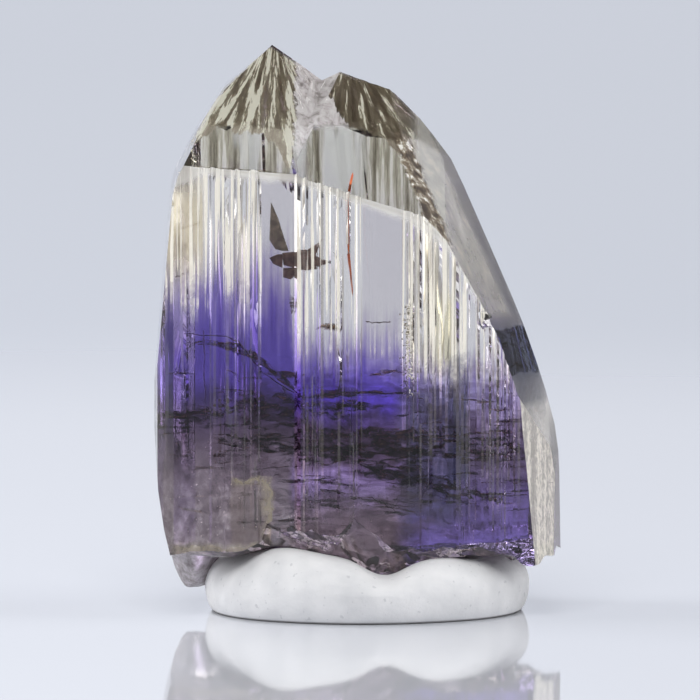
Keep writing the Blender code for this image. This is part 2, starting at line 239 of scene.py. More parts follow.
NICK = ((6.02, 15.30), (6.12, 15.02), (6.36, 14.90), (6.66, 15.06), (6.48, 15.20), (6.26, 15.26))
NEEDLE = ((-0.25, -4.75, 22.25), (-0.54, -4.95, 20.95), (-0.48, -4.95, 18.50), (-0.26, -4.95, 16.10))
NEEDLE_RADII = (0.05, 0.075, 0.06, 0.04)

# How far back each kind of flaw lies, as its Y, and the Y that no fracture passes to the front.
WEDGE_Y = -4.85
CLUSTER_Y = -4.80
CLUSTER_STEP = 0.07
NICK_Y = -4.93
CRACK_Y = -5.00
COLUMN_Y = -5.24
GLINT_Y = -5.26
FRACTURE_FRONT_Y = -5.15

# The larger fractures inside the stone: middle x, y and z, half-sizes in x and y, how many degrees each rises
# backwards and falls to the right, and how far its ends droop.
FRACTURES = (
    (-1.15, -3.20, 10.60, 1.50, 1.80, 18.0, 0.0, 0.10),
    (-0.50, -4.20, 11.25, 2.90, 0.80, 3.0, -3.0, 0.20),
    (-0.65, -2.50, 8.60, 2.90, 2.50, 18.0, 2.0, 0.0),
    (-1.60, -4.10, 8.10, 1.60, 0.90, 10.0, -4.0, 0.10),
    (3.00, -2.90, 6.90, 2.60, 2.10, 15.0, 9.0, 0.10),
    (1.40, -4.30, 7.20, 1.30, 0.70, 9.0, 22.0, 0.0),
    (-4.60, -2.40, 10.30, 1.80, 2.40, 20.0, 0.0, 0.0),
    (-4.70, -3.40, 8.70, 2.00, 1.50, 12.0, 6.0, 0.0),
    (-5.40, -4.10, 13.20, 2.60, 0.90, 10.0, 28.0, 0.90),
    (3.40, -2.60, 8.70, 2.30, 2.40, 18.0, 0.0, 0.0),
    (7.20, -4.75, 10.45, 0.55, 0.35, 3.0, 0.0, 0.0),
    (7.40, -4.65, 9.85, 0.65, 0.40, 4.0, 0.0, 0.0),
    (7.00, -4.50, 9.35, 1.30, 0.60, 4.0, -2.0, 0.0),
    (6.90, -3.40, 8.30, 1.40, 1.40, 16.0, 0.0, 0.10),
    (-1.30, -4.70, 6.40, 0.65, 0.45, 5.0, 8.0, 0.0),
    (0.75, -4.70, 5.90, 1.20, 0.45, 5.0, 11.0, 0.0),
    (-2.90, -4.60, 6.90, 1.00, 0.50, 4.0, -2.0, 0.0),
    (-1.80, -4.50, 5.75, 1.10, 0.50, 6.0, 10.0, 0.0),
    (-8.00, -3.20, 10.10, 1.30, 1.30, 12.0, 0.0, 0.0),
    (-1.45, -4.70, 14.60, 0.50, 0.30, 22.0, 0.0, 0.10),
    (-1.20, -4.90, 14.52, 0.30, 0.20, 30.0, 0.0, 0.0),
    (-3.25, -4.75, 15.80, 0.17, 0.30, 55.0, 0.0, 0.0),
)
SMALL_FRACTURES = 170

# Fine crack edges that catch the light, and dark ones, as routes of X and Z just behind the front face. Among
# the pale ones, the short sixth route is a painted glint and the last is a painted highlight along the
# front's upper edge.
PALE_CRACKS_AND_HIGHLIGHTS = (
    ((-7.65, 14.49), (-7.62, 12.2), (-7.55, 10.02)),
    ((-6.30, 14.08), (-5.90, 13.85), (-5.25, 13.10)),
    ((-6.45, 12.48), (-6.15, 12.25), (-5.85, 11.87)),
    ((-5.30, 8.81), (-5.25, 9.06), (-5.10, 9.21), (-4.80, 9.11), (-3.35, 9.13)),
    ((-3.80, 11.67), (-3.60, 11.27), (-3.25, 10.97), (-2.75, 10.77), (-3.00, 11.17)),
    # A painted glint.
    ((0.55, 9.35), (0.58, 9.05)),
    ((7.65, 11.20), (7.66, 9.80), (7.68, 8.40)),
    ((-0.35, 11.60), (-0.28, 9.40), (-0.20, 7.20), (-0.15, 6.10)),
    # A painted highlight along the front's upper edge, not a crack.
    ((-8.90, 22.25), (-7.65, 22.42), (-3.10, 22.02), (-2.60, 21.72), (2.60, 20.08), (3.20, 19.90),
     (4.50, 18.60)),
)
DARK_CRACKS = (
    ((-8.65, 14.23), (-6.45, 14.13), (-5.65, 13.48), (-4.80, 12.38), (-3.65, 11.57), (-2.65, 11.07)),
    ((-8.90, 19.46), (-8.30, 19.60), (-7.80, 19.81)),
    ((-9.05, 17.05), (-8.60, 17.25)),
    ((0.35, 14.86), (0.90, 14.80), (1.60, 14.84)),
    ((-1.90, 6.50), (-1.10, 6.40), (-0.70, 6.20)),
    ((-0.40, 6.05), (0.60, 6.10), (1.20, 5.85), (1.85, 5.45)),
)
CRACK_RADIUS = 0.032

# How many pale grains lie in the crumbly column, and how many pale specks, which are painted glints, lie on
# the lower left and along the break.
COLUMN_GRAINS = 230
LEFT_GRAINS = 70
LOW_GRAINS = 110

# The pad.
PAD_CENTRE_X = 0.40
PAD_RADIUS = 8.05
PAD_HEIGHT = 3.20
PAD_FOOT_RADIUS = 7.55
PAD_WIDEST_HEIGHT = 1.41
PAD_SHOULDER = 1.90
PAD_DOME = 0.12
PAD_WAVES = ((2, 0.010, 0.6), (3, 0.006, 2.0), (7, 0.004, 0.0))
PRESS_GAP = 0.06
PRESS_REACH = (10.4, 5.9)
PAD_LEAST_HEIGHT = 0.5
PAD_STEPS_ROUND = 300

# The camera looks down a little. One photo pixel is PIXEL at the origin, and the image is IMAGE_SIZE across.
IMAGE_SIZE = 700
PIXEL = 0.05
CAMERA_DISTANCE = 600.0
CAMERA_ELEVATION = math.radians(4.5)
CENTRE_X = -0.40
CENTRE_UP = 13.0
EXPOSURE = 0.22
STONE_IOR = 1.69
FLOOR_IOR = 1.45

# The studio. ROOM gives the room's colour by how far to the right a level direction points, from -1 to 1.
WHITE = (1.0, 1.0, 1.0)
BLACK = (0.0, 0.0, 0.0)
FLOOR_RADIUS = 950.0
FLOOR_FRONT = 80.0
ROOM = (
    (-0.90, (0.45, 0.46, 0.50)),
    (-0.76, (2.00, 1.98, 1.95)),
    (-0.44, (2.00, 1.94, 1.82)),
    (-0.33, (0.48, 0.45, 0.40)),
    (-0.22, (0.42, 0.41, 0.40)),
    (-0.12, (0.64, 0.67, 0.75)),
    (0.12, (0.64, 0.67, 0.75)),
    (0.20, (0.38, 0.37, 0.36)),
    (0.48, (0.22, 0.23, 0.26)),
    (0.58, (2.00, 1.96, 1.88)),
    (0.78, (2.00, 1.98, 1.95)),
    (0.90, (0.45, 0.46, 0.50)),
)


def grid_quads(rows, columns, wrap=False):
    """Corner numbers of the quads of a grid of rows x columns points, whose last column joins the first where
    wrap is set."""
    steps = np.arange(columns if wrap else columns - 1)
    below = np.arange(rows - 1)[:, None] * columns
    left = below + steps
    right = below + (steps + 1) % columns
    return np.stack((left, right, right + columns, left + columns), axis=-1).reshape(-1, 4)


def tube_faces(rows, around, first=0):
    """Faces of rings of points, each joined to the next, with both ends closed. first is the number of the
    first point."""
    last = first + (rows - 1) * around
    ends = [range(first + around - 1, first - 1, -1), range(last, last + around)]
    return (grid_quads(rows, around, wrap=True) + first).tolist() + [list(end) for end in ends]


def mesh_piece(name, points, faces, material=None):
    """An object at the origin from points in millimetres."""
    mesh = bpy.data.meshes.new(name)
    points = np.asarray(points).reshape(-1, 3) * MM
    mesh.from_pydata(points.tolist(), [], [list(map(int, f)) for f in faces])
    mesh.update()
    if material:
        mesh.materials.append(material)
    piece = bpy.data.objects.new(name, mesh)
    bpy.context.scene.collection.objects.link(piece)
    return piece


def bmesh_piece(name, bm):
    """An object at the origin from a bmesh in millimetres."""
    bmesh.ops.recalc_face_normals(bm, faces=bm.faces)
    bmesh.ops.scale(bm, vec=(MM, MM, MM), verts=bm.verts)
    mesh = bpy.data.meshes.new(name)
    bm.to_mesh(mesh)
    bm.free()
    piece = bpy.data.objects.new(name, mesh)
    bpy.context.scene.collection.objects.link(piece)
    return piece


def slab(name, lower, upper):
    """A closed block between two grids of points of the same shape, the upper one seen from above in
    anticlockwise order."""
    rows, columns = lower.shape[:2]
    count = rows * columns
    sheet = grid_quads(rows, columns)
    numbers = np.arange(count).reshape(rows, columns)
    rim = np.concatenate((numbers[0, :-1], numbers[:-1, -1], numbers[-1, :0:-1], numbers[:0:-1, 0]))
    next_rim = np.roll(rim, -1)
    wall = np.stack((rim, next_rim, next_rim + count, rim + count), axis=-1)
    faces = np.concatenate((sheet[:, ::-1], sheet + count, wall))
    return mesh_piece(name, np.concatenate((lower.reshape(-1, 3), upper.reshape(-1, 3))), faces)


def combine(piece, helpers):
    """Joins helpers to the piece, cuts them away or keeps what they share, one after the other, and leaves
    the result as the piece's own mesh."""
    for helper, operation in helpers:
        modifier = piece.modifiers.new(helper.name, "BOOLEAN")
        modifier.operation = operation
        modifier.solver = "MANIFOLD"
        modifier.object = helper
    evaluated = piece.evaluated_get(bpy.context.evaluated_depsgraph_get())
    result = bpy.data.meshes.new_from_object(evaluated)
    piece.modifiers.clear()
    piece.data = result
    for helper, _ in helpers:
        bpy.data.objects.remove(helper, do_unlink=True)


def uneven(x, y, size, seed, waves=9):
    """A smooth uneven surface between about -1 and 1: a sum of sine waves of random direction, turn and
    length round the given size."""
    rng = np.random.default_rng(seed)
    total = np.zeros(np.broadcast(x, y).shape)
    for _ in range(waves):
        direction, start = rng.uniform(0.0, 2.0 * math.pi, 2)
        turn = 2.0 * math.pi / (size * rng.uniform(0.6, 1.8))
        total += np.sin(turn * (x * math.cos(direction) + y * math.sin(direction)) + start)
    return total / math.sqrt(waves * 2.0)


def growth_profile(start, end, width, depth, rng):
    """One face of a cross-section as rows of x, y, inward x, inward y, inset and growth cell number: flats of
    uneven width, each set back by a random share of the depth and joined to the next by a slanting riser."""
    start = np.array(start)
    along = np.array(end) - start
    length = np.linalg.norm(along)
    along = along / length
    inwards = np.array((-along[1], along[0]))
    if depth == 0.0:
        return np.array([[*start, *inwards, 0.0, -1.0]])
    cells = max(int(length / width), 2)
    flats = width * rng.uniform(0.05, 0.9, cells)
    insets = depth * rng.uniform(0.0, 1.0, cells)
    insets[0] = 0.0
    risers = width * rng.uniform(0.1, 1.1, cells - 1)
    flat_starts = np.concatenate(([0.0], np.cumsum(flats[:-1] + risers)))
    places = np.stack((flat_starts, flat_starts + flats), axis=1).ravel()
    places = places * length / places[-1]
    points = start + along * places[:, None]
    rows = np.empty((2 * cells, 6))
    rows[:, :2] = points
    rows[:, 2:4] = inwards
    rows[:, 4] = np.repeat(insets, 2)
    rows[:, 5] = np.repeat(np.arange(cells), 2)
    return rows[:-1]


def striated_prism(name, corners, seed):
    """A closed upright prism. Its outline is carried up in even steps, and every growth cell's inset swells
    and fades along the height as a sine of its own length and turn; some cells end at a height of their own,
    and all are shallower near the foot."""
    rng = np.random.default_rng(seed)
    rows = []
    cells_so_far = 0
    for i, (x, y, width, depth) in enumerate(corners):
        face = growth_profile((x, y), corners[(i + 1) % len(corners)][:2], width, depth, rng)
        face[:, 5] += cells_so_far + 1
        cells_so_far = int(face[-1, 5])
        rows.append(face)
    outline = np.concatenate(rows)
    cell = outline[:, 5].astype(int)
    count = cells_so_far + 1
    lengths = rng.uniform(7.0, 22.0, count)[cell]
    turns = rng.uniform(0.0, 2.0 * math.pi, count)[cell]
    swings = rng.uniform(0.1, 0.5, count)[cell]
    ends = rng.uniform(3.0, 60.0, count)[cell]
    ways = rng.choice((-1.0, 1.0), count)[cell]
    heights = np.linspace(PRISM_FOOT, PRISM_TOP, PRISM_LEVELS)[:, None]
    swell = 1.0 + swings * np.sin(2.0 * math.pi * heights / lengths + turns)
    ending = 1.0 / (1.0 + np.exp(ways * (heights - ends) / STEP_END_LENGTH))
    ending = np.where(ends < PRISM_TOP, ending, 1.0)
    low, high = CALM_HEIGHTS
    grown = np.clip((heights - low) / (high - low), 0.0, 1.0)
    inset = outline[:, 4] * swell * ending * (CALM_SHARE + (1.0 - CALM_SHARE) * grown)
    points = np.empty((len(heights), len(outline), 3))
    points[..., 0] = outline[:, 0] + outline[:, 2] * inset
    points[..., 1] = outline[:, 1] + outline[:, 3] * inset
    points[..., 2] = heights
    levels, around = inset.shape
    return mesh_piece(name, points, tube_faces(levels, around))


def cut_face(bm, point, outwards):
    """Cuts away what lies beyond a plane and closes the cut with one flat face."""
    everything = bm.verts[:] + bm.edges[:] + bm.faces[:]
    cut = bmesh.ops.bisect_plane(
        bm, geom=everything, dist=1e-5, plane_co=point, plane_no=outwards, clear_outer=True
    )
    edges = [e for e in cut["geom_cut"] if isinstance(e, bmesh.types.BMEdge) and e.is_boundary]
    if edges:
        bmesh.ops.edgeloop_fill(bm, edges=edges)


def plane_normal(points, axis=2):
    """The normal of the plane through three points that has a positive part along an axis."""
    first, second, third = (Vector(p) for p in points)
    normal = (second - first).cross(third - first).normalized()
    return normal if normal[axis] > 0.0 else -normal


def at_height(height, heights_and_values):
    """A value that runs evenly between two heights and stays the same beyond them."""
    (low, high), (first, second) = heights_and_values
    share = min(max((height - low) / (high - low), 0.0), 1.0)
    return first + (second - first) * share


def cut_flank(bm, flank, line, leans, side, way):
    """Cuts one long narrow face along each stretch of a flank's outline. side is -1 left and +1 right, and
    way is -1 for the faces in front of the outline and +1 for those behind it."""
    corners = [Vector((x, at_height(z, line), z)) for x, z in flank]
    for lower, upper in zip(corners, corners[1:]):
        lean = at_height((lower.z + upper.z) / 2.0, leans)
        normal = (upper - lower).cross(Vector((-side * lean, way, 0.0))).normalized()
        if normal.x * side < 0.0:
            normal = -normal
        cut_face(bm, lower, normal)


def ending_body(name, faces):
    """The block that the termination faces and the flanks leave of all space round the crystal."""
    bm = bmesh.new()
    bmesh.ops.create_cube(bm, size=1.0)
    bmesh.ops.scale(bm, vec=BLOCK_SIZE, verts=bm.verts)
    bmesh.ops.translate(bm, vec=BLOCK_MIDDLE, verts=bm.verts)
    for points in faces:
        cut_face(bm, Vector(points[0]), plane_normal(points))
    cut_face(bm, Vector(SIDE_BAND[0]), plane_normal(SIDE_BAND, 0))
    cut_flank(bm, LEFT_FLANK, LEFT_FLANK_LINE, LEFT_LEANS, -1.0, -1.0)
    cut_flank(bm, RIGHT_FLANK, RIGHT_FLANK_LINE, RIGHT_LEANS, 1.0, -1.0)
    cut_flank(bm, RIGHT_FLANK, RIGHT_FLANK_LINE, RIGHT_BACK_LEANS, 1.0, 1.0)
    return bmesh_piece(name, bm)


def fan_comb(name, face, apex, seed):
    """A closed block over a back termination face. Its underside digs a fan of grooves into the face: the
    angle round a point above the ridge is split into uneven steps, and in each the dig is a triangle wave
    with a random slope that ends at a random distance. apex gives the X of the fan's middle, the point's
    height over the ridge and how far aside it lies."""
    rng = np.random.default_rng(seed)
    normal = np.array(plane_normal(face))
    across = np.cross((0.0, 0.0, 1.0), normal)
    across /= np.linalg.norm(across)
    if across[0] < 0.0:
        across = -across
    down = np.cross(across, normal)
    down = down if down[2] < 0.0 else -down
    middle_x, over, aside = apex
    start = np.array(face[0])
    start = start + across * (middle_x - start[0]) / across[0]
    u, v = np.meshgrid(np.linspace(-8.0, 8.0, 361), np.linspace(-0.6, 10.5, 110))
    far = v + over
    angle = (u - aside) / far
    dig = np.zeros_like(u)
    for step, steepest in FAN_LAYERS:
        places = np.cumsum(step * rng.uniform(0.45, 1.55, FAN_GROOVES))
        places = np.concatenate(([0.0], places)) - places[-1] / 2.0
        number = np.clip(np.searchsorted(places, angle) - 1, 0, FAN_GROOVES - 2)
        width = places[number + 1] - places[number]
        groove = np.clip((angle - places[number]) / width, 0.0, 1.0)
        peak = rng.uniform(0.15, 0.85, FAN_GROOVES)[number]
        wave = np.where(groove < peak, groove / peak, (1.0 - groove) / (1.0 - peak))
        slope = steepest * rng.uniform(0.0, 1.0, FAN_GROOVES)[number] ** 1.5
        end = rng.uniform(2.5, 14.0, FAN_GROOVES)[number]
        fade = np.clip((end - v) / 0.9, 0.0, 1.0)
        dig = dig + wave * slope * fade * width * far / 2.0
    fade = np.clip((v - 0.10) / 0.8, 0.0, 1.0)
    surface = start + u[..., None] * across + v[..., None] * down
    lower = surface - (dig * fade)[..., None] * normal + 0.002 * normal
    upper = surface + 4.0 * normal
    if np.dot(np.cross(across, -down), normal) > 0.0:
        lower = lower[::-1]
        upper = upper[::-1]
    return slab(name, lower, upper)


def seat_line(x):
    """Height of the putty along the front of the stone: the pad's height with a bell-shaped rise and dent."""
    bells = (height * np.exp(-(((x - middle) / width) ** 2)) for middle, width, height in SEAT_BELLS)
    return PAD_HEIGHT + sum(bells)


def break_height(x, y, ruffle=0.0):
    """Height of the broken end over a point: the highest of the scars' domes, lowered under each hanging
    point by a bell. At the front it falls steeply from the front face's edge to the seat, and ruffle brings
    that slope forwards."""
    domes = [h - ((x - cx) ** 2 + (y - cy) ** 2) / (2.0 * r) for cx, cy, h, r in SCARS]
    scars = np.max(domes, axis=0)
    edge_x, edge_z = np.array(FRONT_BREAK_EDGE).T
    edge = np.interp(x, edge_x, edge_z)
    share = np.clip((y + ruffle - FRONT_BREAK_START) / FRONT_BREAK_DEPTH, 0.0, 1.0)
    front = edge + (seat_line(x) - SEAT_DEPTH - edge) * share
    near, far = FRONT_BREAK_BLEND
    behind = np.clip((y - near) / (far - near), 0.0, 1.0)
    height = front + (scars - front) * behind
    for cx, cy, half_x, half_y, drop in HANGING_POINTS:
        away = ((x - cx) / half_x) ** 2 + ((y - cy) / half_y) ** 2
        height = height - drop * np.exp(-(away**2) / 2.0)
    return height


def shells(u, v, spacing, sizes, heights, turns, seed):
    """Relief of shell-shaped scars over two coordinates: the highest of many domes, stretched one way and
    turned, on a jittered grid, which leaves sharp ridges between shallow bowls."""
    rng = np.random.default_rng(seed)
    relief = np.full(u.shape, -1.0)
    for middle_u in np.arange(u.min(), u.max() + spacing[0], spacing[0]):
        for middle_v in np.arange(v.min(), v.max() + spacing[1], spacing[1]):
            cu = middle_u + rng.uniform(-0.5, 0.5) * spacing[0]
            cv = middle_v + rng.uniform(-0.5, 0.5) * spacing[1]
            turn = rng.uniform(*turns)
            along = (u - cu) * math.cos(turn) + (v - cv) * math.sin(turn)
            across = (v - cv) * math.cos(turn) - (u - cu) * math.sin(turn)
            bowl = (along / sizes[0]) ** 2 + (across / sizes[1]) ** 2
            dome = heights * rng.uniform(0.0, 1.0) - heights * bowl * rng.uniform(0.4, 1.3)
            relief = np.maximum(relief, dome)
    return relief


def broken_end():
    """A closed block whose top is the broken end's surface, with a finer grid along the steep front."""
    half_x, half_y = BREAK_HALF_SIZE
    rows = np.concatenate((
        np.linspace(-half_y, -5.95, 8), np.linspace(-5.85, -4.2, 72), np.linspace(-4.1, half_y, 90)
    ))
    x, y = np.meshgrid(np.linspace(-half_x, half_x, 301), rows)
    plain = break_height(x, y)
    ruffle = shells(x, plain, (1.5, 0.90), (1.8, 0.95), 0.50, (-0.8, 0.2), 22)
    ruffle = ruffle + shells(x, plain, (0.60, 0.42), (0.62, 0.36), 0.10, (-0.8, 0.2), 23)
    top = break_height(x, y, ruffle) + shells(x, y, (1.5, 1.0), (1.8, 1.2), 0.14, (-0.5, 0.5), 21)
    top = top + 0.012 * uneven(x, y, 0.5, 6)
    upper = np.stack((x, y, top), axis=-1)
    lower = np.stack((x, y, np.full_like(x, BREAK_FLOOR)), axis=-1)
    return slab("broken_end", lower, upper)


def chip(number, middle, radius):
    """A small faceted upright lump that takes a chip out of an edge."""
    rng = np.random.default_rng(40 + number)
    bm = bmesh.new()
    bmesh.ops.create_icosphere(bm, subdivisions=1, radius=radius)
    for vert in bm.verts:
        vert.co *= rng.uniform(0.8, 1.2)
        vert.co.z *= CHIP_STRETCH
    bmesh.ops.translate(bm, vec=middle, verts=bm.verts)
    return bmesh_piece(f"chip_{number}", bm)


def crystal(material):
    """The whole stone: two striated prisms, each ended by its own faces, joined, broken off below and
    chipped."""
    left = striated_prism("left_growth", LEFT_SECTION, 3)
    combine(left, [
        (ending_body("left_ending", LEFT_FACES), "INTERSECT"),
        (fan_comb("left_comb", LEFT_BACK_FACE, (-4.3, 1.6, 0.0), 8), "DIFFERENCE"),
        (fan_comb("left_notch_comb", LEFT_BACK_NOTCH_FACE, (-4.3, 1.6, 0.0), 10), "DIFFERENCE"),
    ])
    stone = striated_prism("crystal_stone", RIGHT_SECTION, 4)
    combine(stone, [
        (ending_body("right_ending", RIGHT_FACES), "INTERSECT"),
        (fan_comb("right_comb", RIGHT_BACK_FACE, (1.0, 6.0, -4.5), 9), "DIFFERENCE"),
        (left, "UNION"),
        (broken_end(), "DIFFERENCE"),
    ] + [(chip(i, c[:3], c[3]), "DIFFERENCE") for i, c in enumerate(CHIPS)])
    stone.data.materials.clear()
    stone.data.materials.append(material)
    stone.data.shade_smooth()
    stone.data.set_sharp_from_angle(angle=math.radians(9.0))
    return stone


def closed_piece(name, points, faces, material):
    """A piece whose poles and seams are merged and whose faces all point outwards."""
    piece = mesh_piece(name, points, faces, material)
    bm = bmesh.new()
    bm.from_mesh(piece.data)
    bmesh.ops.remove_doubles(bm, verts=bm.verts, dist=1e-8)
    bmesh.ops.recalc_face_normals(bm, faces=bm.faces)
    bm.to_mesh(piece.data)
    bm.free()
    piece.data.shade_smooth()
    piece.data.set_sharp_from_angle(angle=math.radians(40.0))
    return piece


def scattered_piece(name, points, material):
    """One piece of many closed shapes, from the rings of points of each."""
    count, rings, around = points.shape[:3]
    one = grid_quads(rings, around, wrap=True)
    faces = one[None] + (np.arange(count) * rings * around)[:, None, None]
    return closed_piece(name, points, faces.reshape(-1, 4), material)


def polar_slabs(centres, reach, heights, thickness):
    """Points of closed thin slabs, one for each row. reach holds the x and y of every ring and step round,
    heights their z, and the two skins stand apart by the thickness, which closes at the rim."""
    upper = np.stack((*reach, heights + thickness), axis=-1) + centres[:, None, None, :]
    lower = np.stack((*reach, heights - thickness), axis=-1) + centres[:, None, None, :]
    return np.concatenate((lower, upper[:, ::-1]), axis=1)


def ragged_rim(angle, count, waves, size, rng):
    """A rim's radius round a shape: one plus sine waves of falling size and random phase, a row for each."""
    rim = np.ones((count, 1, angle.shape[-1]))
    for turns in range(2, waves):
        height = size * rng.uniform(0.0, 1.0, (count, 1, 1)) / turns**0.8
        rim = rim + height * np.sin(turns * angle + rng.uniform(0.0, 2.0 * math.pi, (count, 1, 1)))
    return np.maximum(rim, 0.25)


def sheets(name, rows, rings, around, waves, seed, material):
    """Thin wavy sheets with ragged rims. Each row gives the middle, the half-sizes in X and Y, the rise
    backwards, the fall to the right and the droop of the ends; sine waves ruffle the sheet."""
    rng = np.random.default_rng(seed)
    rows = np.asarray(rows)
    count = len(rows)
    share = np.linspace(0.0, 1.0, rings)[None, :, None]
    angle = np.linspace(0.0, 2.0 * math.pi, around, endpoint=False)[None, None, :]
    reach = share * ragged_rim(angle, count, waves, 0.45, rng)
    half_x, half_y, rise, fall, droop = rows[:, 3:].T[:, :, None, None]
    x = half_x * reach * np.cos(angle)
    y = np.maximum(half_y * reach * np.sin(angle), FRACTURE_FRONT_Y - rows[:, 1, None, None])
    z = y * np.tan(np.radians(rise)) - x * np.tan(np.radians(fall)) - droop * (x / half_x) ** 2
    ruffle = np.stack([uneven(x[i], y[i], 1.1, seed + 10 + i) for i in range(count)])
    fine = np.stack([uneven(x[i], y[i], 0.35, seed + 90 + i) for i in range(count)])
    small = np.minimum(half_x, half_y)
    z = z + 0.10 * np.minimum(small, 1.5) * ruffle + 0.02 * np.minimum(small, 1.0) * fine
    thickness = 0.02 * np.sqrt(1.0 - share**2) + 0.0 * x
    return scattered_piece(name, polar_slabs(rows[:, :3], (x, y), z, thickness), material)


def specks(name, middles, sizes, seed, material):
    """Tiny angular grains: balls of few faces, each squeezed and turned at random."""
    rng = np.random.default_rng(seed)
    count = len(middles)
    rings, around = 5, 6
    down = np.linspace(0.0, math.pi, rings)[None, :, None]
    angle = np.linspace(0.0, 2.0 * math.pi, around, endpoint=False)[None, None, :]
    stretch = rng.uniform(0.5, 1.5, (3, count, 1, 1)) * sizes[None, :, None, None]
    jitter = rng.uniform(0.8, 1.2, (count, rings, around))
    jitter[:, (0, -1)] = 1.0
    x = stretch[0] * np.sin(down) * np.cos(angle) * jitter
    y = stretch[1] * np.sin(down) * np.sin(angle) * jitter
    z = stretch[2] * np.cos(down) * np.ones_like(x)
    return scattered_piece(name, np.stack((x, y, z), axis=-1) + middles[:, None, None, :], material)


def plate(name, outline, y, half_thickness, material):
    """A thin mineral plate: an outline of X and Z points carried a little along Y, drawn in at both ends."""
    outline = np.array(outline)
    middle = outline.mean(axis=0)
    share = np.array((0.80, 0.95, 1.0, 0.95, 0.80))[:, None, None]
    ring = middle + (outline - middle) * share
    depth = np.linspace(-1.0, 1.0, 5)[:, None] * half_thickness + y
    depth = np.broadcast_to(depth, ring.shape[:2])
    points = np.stack((ring[..., 0], depth, ring[..., 1]), axis=-1)
    return closed_piece(name, points, tube_faces(*depth.shape), material)


def thread_rings(path, radii, sides=6):
    """Points of a thin line that runs along the path's points: a ring carried along it, drawn in to a point
    at both ends."""
    path = np.array(path)
    steps = np.linspace(0.0, len(path) - 1.0, 8 * (len(path) - 1) + 1)
    knots = np.arange(len(path))
    line = np.stack([np.interp(steps, knots, path[:, k]) for k in range(3)], axis=-1)
    width = np.interp(steps, knots, radii)
    width[0] = width[-1] = 1e-4
    along = np.gradient(line, axis=0)
    along /= np.linalg.norm(along, axis=1, keepdims=True)
    side = np.cross(along, (0.0, 1.0, 0.0))
    side /= np.linalg.norm(side, axis=1, keepdims=True)
    over = np.cross(side, along)
    turn = np.linspace(0.0, 2.0 * math.pi, sides, endpoint=False)[None, :, None]
    ring = side[:, None] * np.cos(turn) + over[:, None] * np.sin(turn)
    return line[:, None] + ring * width[:, None, None]


def threads(name, paths, radii, material, sides=6):
    """One piece of thin lines such as a needle or the edges of cracks."""
    points = []
    faces = []
    for path, widths in zip(paths, radii):
        rings = thread_rings(path, widths, sides)
        faces += tube_faces(len(rings), sides, sum(len(p) for p in points))
        points.append(rings.reshape(-1, 3))
    return closed_piece(name, np.concatenate(points), faces, material)


def crack_edges(name, routes, seed, material):
    """Thin bright or dark crack edges behind the front face, each with a jittered route. Some bright ones are
    no cracks but a painted glint and a painted highlight along the front's upper edge.
    """
    rng = np.random.default_rng(seed)
    paths = []
    for route in routes:
        x, z = np.array(route).T
        steps = np.linspace(0.0, len(x) - 1.0, 5 * (len(x) - 1) + 1)
        knots = np.arange(len(x))
        shake = rng.normal(0.0, 0.022, (3, len(steps)))
        y = np.full(len(steps), CRACK_Y)
        path = np.stack((np.interp(steps, knots, x), y, np.interp(steps, knots, z)))
        paths.append((path + shake).T)
    radii = [CRACK_RADIUS * rng.uniform(0.4, 1.2, len(path)) for path in paths]
    return threads(name, paths, radii, material, 5)


def fracture_veils(material):
    """The dark cracks that cross the middle of the stone, nearly level: the larger ones, and a scatter of
    small ones round them."""
    rng = np.random.default_rng(71)
    count = SMALL_FRACTURES
    x = rng.uniform(-9.3, 8.6, count)
    z = np.clip(rng.normal(8.2, 1.9, count) - 0.10 * x, 4.6, 12.2)
    y = rng.uniform(-4.9, -1.5, count)
    half_x = rng.uniform(0.2, 1.0, count) ** 1.6 * 1.1
    half_y = half_x * rng.uniform(0.2, 0.7, count)
    rise = rng.normal(5.0, 7.0, count)
    fall = rng.normal(2.0, 7.0, count)
    small = np.stack((x, y, z, half_x, half_y, rise, fall, np.zeros(count)), axis=1)
    large = sheets("fracture_veils", FRACTURES, 12, 96, 26, 72, material)
    little = sheets("fracture_shreds", small, 6, 30, 10, 73, material)
    return [large, little]


def scatter(x, z, y):
    """Middles of grains at the given X and Z, all at one Y."""
    return np.stack((x, np.full(len(x), y), z), axis=1)


def bright_grains(material):
    """Pale grains on the front: a crumbly column beside the second window, and pale specks on the lower left
    and along the break that are painted glints."""
    rng = np.random.default_rng(61)
    column = scatter(rng.normal(2.50, 0.16, COLUMN_GRAINS), rng.uniform(11.1, 15.8, COLUMN_GRAINS), COLUMN_Y)
    # Painted glints: pale specks on the lower left and along the break.
    left = scatter(rng.uniform(-9.3, -4.2, LEFT_GRAINS), rng.uniform(4.2, 9.6, LEFT_GRAINS), GLINT_Y)
    low = scatter(rng.uniform(-4.0, 7.5, LOW_GRAINS), rng.normal(6.0, 0.8, LOW_GRAINS), GLINT_Y)
    middles = np.concatenate((column, left, low))
    column_sizes = rng.uniform(0.015, 0.06, COLUMN_GRAINS)
    glint_sizes = rng.uniform(0.015, 0.035, LEFT_GRAINS + LOW_GRAINS)
    return specks("bright_grains", middles, np.concatenate((column_sizes, glint_sizes)), 62, material)


